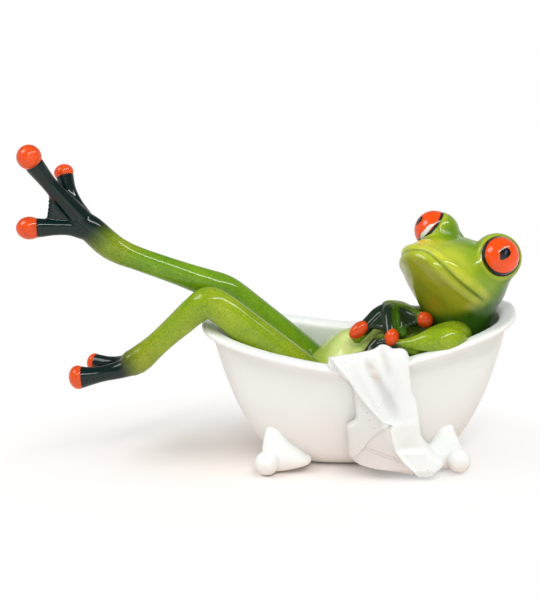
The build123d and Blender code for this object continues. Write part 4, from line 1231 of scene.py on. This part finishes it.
towel_shape = skin(towel_grid())
towel_x, _, towel_z = towel_shape[0].T
# The upper layer is painted cooler and brighter and the lower layer darker, as painted light and shade. A
# painted shade lies in its folds, warm above and below, cool between.
WARM_FOLD_SHADE, COOL_FOLD_SHADE = np.array([0.80, 0.74, 0.69]), np.array([0.82, 0.86, 0.88])
edge_x = np.interp(towel_z, (5.3, 14.1, 28.0, 38.2, 57.8), (21.3, 13.8, 8.1, -0.3, -14.4))
upper = ease(towel_x - edge_x, -1, 1)
towel_paint = resin_paint(towel_shape[0], upper * 0.9) * (0.88 + 0.10 * upper)[:, None]
fold_shade = sprayed(WARM_FOLD_SHADE, len(towel_x), [(COOL_FOLD_SHADE, ease(-np.abs(towel_z - 36), -12, -6) * 0.8)])
fold_shade_share = ease(2.3 - towel_relief(towel_x, towel_z), 0.2, 4.0) * upper
towel_paint = blend(towel_paint, fold_shade, fold_shade_share * 0.75)
piece("towel_over_rim", towel_shape, TOWEL_WHITE, ["towel"], towel_paint)

# %% [markdown]
# ## Floor and light
# A pale floor keeps the soft shadow, and fades to white farther off. A long strip lamp draws the thin
# bright lines on the limbs, a square one makes the window in the eyes, and a weak broad one fills the
# front. With an even sky they light the frog so that a colour comes out about as it is written. The
# camera sees the world as plain white, without more light on the object. In reflections it is bright
# at the horizon and dark overhead, as in a studio, or the clear coat would veil the dark paint.

# %% Stage
FLOOR_HALF = 1.6
FLOOR_TONE, FLOOR_CLOUD = (0.94, 0.885, 0.85), (0.93, 0.875, 0.84)
# The oval where the floor fades: how the axes are stretched, and where the fade starts and ends.
FADE_STRETCH, FADE_START, FADE_END = (8.0, 14.0, 1.0), 0.35, 1.15


def floor_plane():
    """A pale floor that keeps the shadow near the frog, and is plain white to the camera farther off."""
    mesh = bpy.data.meshes.new("floor")
    corners = [(x * FLOOR_HALF, y * FLOOR_HALF, 0) for x, y in ((-1, -1), (1, -1), (1, 1), (-1, 1))]
    mesh.from_pydata(corners, [], [(0, 1, 2, 3)])
    material, tree, shader = new_material("pale floor")
    cloud = ranged(tree, grain(tree, 6, 3), 0.3, 0.7)
    colour = mixed(tree, cloud, FLOOR_TONE, FLOOR_CLOUD)
    feed(tree, shader, {"Base Color": colour, "Roughness": 0.8, "Specular IOR Level": 0.1})
    place = add(tree, "TexCoord").outputs["Object"]
    oval_place = add(tree, "Mapping", {"Vector": place, "Scale": FADE_STRETCH}).outputs["Vector"]
    reach = add(tree, "VectorMath", {0: oval_place}, operation="LENGTH").outputs["Value"]
    looked_at = add(tree, "LightPath").outputs["Is Camera Ray"]
    away = worked_out(tree, "MULTIPLY", ranged(tree, reach, FADE_START, FADE_END), looked_at)
    white = add(tree, "Emission", {"Color": (1.0, 1.0, 1.0, 1.0), "Strength": 1.0}).outputs["Emission"]
    both = add(tree, "MixShader", {0: away, 1: shader.outputs["BSDF"], 2: white}).outputs["Shader"]
    feed(tree, tree.nodes["Material Output"], {"Surface": both})
    mesh.materials.append(material)
    floor = placed("floor", mesh)


LAMP_AIM = np.array([0, 0, 0.06])


def lamp(name, place, wide, tall, power, colour):
    """An oblong soft lamp at a place, turned to a point in the bathtub, its first side level."""
    data = bpy.data.lights.new(name, "AREA")
    data.shape = "RECTANGLE"
    data.size, data.size_y, data.energy, data.color = wide, tall, power, colour
    light = placed(name, data)
    away = unit(np.array(place, float) - LAMP_AIM)
    light.rotation_euler = Vector(away).to_track_quat("Z", "Y").to_euler()
    light.location = place


floor_plane()
lamp("strip", (0.34, -0.34, 0.82), 1.30, 0.09, 5.2, (1.0, 0.99, 0.97))
lamp("window", (-0.60, -0.10, 0.70), 0.40, 0.40, 2.9, (0.97, 0.985, 1.0))
lamp("fill", (0.20, -0.90, 0.35), 0.90, 0.60, 1.0, (1.0, 0.985, 0.96))

# Light from the sky, and what a reflection sees at the horizon and overhead, from one height to another.
SKY_LIGHT, HORIZON, CEILING = 0.46, 0.80, 0.18
HORIZON_Z, CEILING_Z = 0.05, 0.40
world = bpy.data.worlds.new("studio")
bpy.context.scene.world = world
world.use_nodes = True
sky = world.node_tree
path = add(sky, "LightPath")
mirrored = worked_out(sky, "MAXIMUM", path.outputs["Is Glossy Ray"], path.outputs["Is Transmission Ray"])
above = add(sky, "SeparateXYZ", {"Vector": add(sky, "TexCoord").outputs["Generated"]}).outputs["Z"]
ceiling = ranged(sky, above, HORIZON_Z, CEILING_Z, HORIZON - SKY_LIGHT, CEILING - SKY_LIGHT)
strength = worked_out(sky, "MULTIPLY_ADD", mirrored, ceiling, SKY_LIGHT)
strength = worked_out(sky, "MULTIPLY_ADD", path.outputs["Is Camera Ray"], 1.0 - SKY_LIGHT, strength)
feed(sky, sky.nodes["Background"], {"Color": (1.0, 1.0, 1.0, 1.0), "Strength": strength})
print("lamps:", [light.name for light in bpy.data.lights])

# %% [markdown]
# ## Camera
# The picture was taken with a long lens from a little above the rim, slightly to the right of square
# on, and with the camera turned a degree and a half. The same view is built from those angles.

# %% Camera
AZIMUTH, ELEVATION, ROLL = math.radians(2.0), math.radians(17.7), math.radians(1.5)
CAMERA_DISTANCE, FOCAL_PIXELS, PICTURE_TALL, SENSOR = 0.700, 1561.0, 600.0, 36.0
aim = TUB_MIDDLE + MM * np.array([-40.2, 0.0, 73.1])
back = np.array([math.sin(AZIMUTH) * math.cos(ELEVATION), -math.cos(AZIMUTH) * math.cos(ELEVATION),
                 math.sin(ELEVATION)])
level_right = np.array([math.cos(AZIMUTH), math.sin(AZIMUTH), 0.0])
level_up = np.cross(back, level_right)
right = level_right * math.cos(ROLL) - level_up * math.sin(ROLL)
upward = level_right * math.sin(ROLL) + level_up * math.cos(ROLL)
camera_data = bpy.data.cameras.new("camera")
camera_data.sensor_fit = "VERTICAL"
camera_data.sensor_height = SENSOR
camera_data.lens = FOCAL_PIXELS * SENSOR / PICTURE_TALL
camera = placed("camera", camera_data)
stand = np.eye(4)
stand[:3] = np.stack([right, upward, back, aim + back * CAMERA_DISTANCE], 1)
camera.matrix_world = Matrix(stand.tolist())
bpy.context.scene.camera = camera
bpy.context.scene.view_settings.view_transform = "Standard"
print("lens", round(camera_data.lens, 2), "mm")
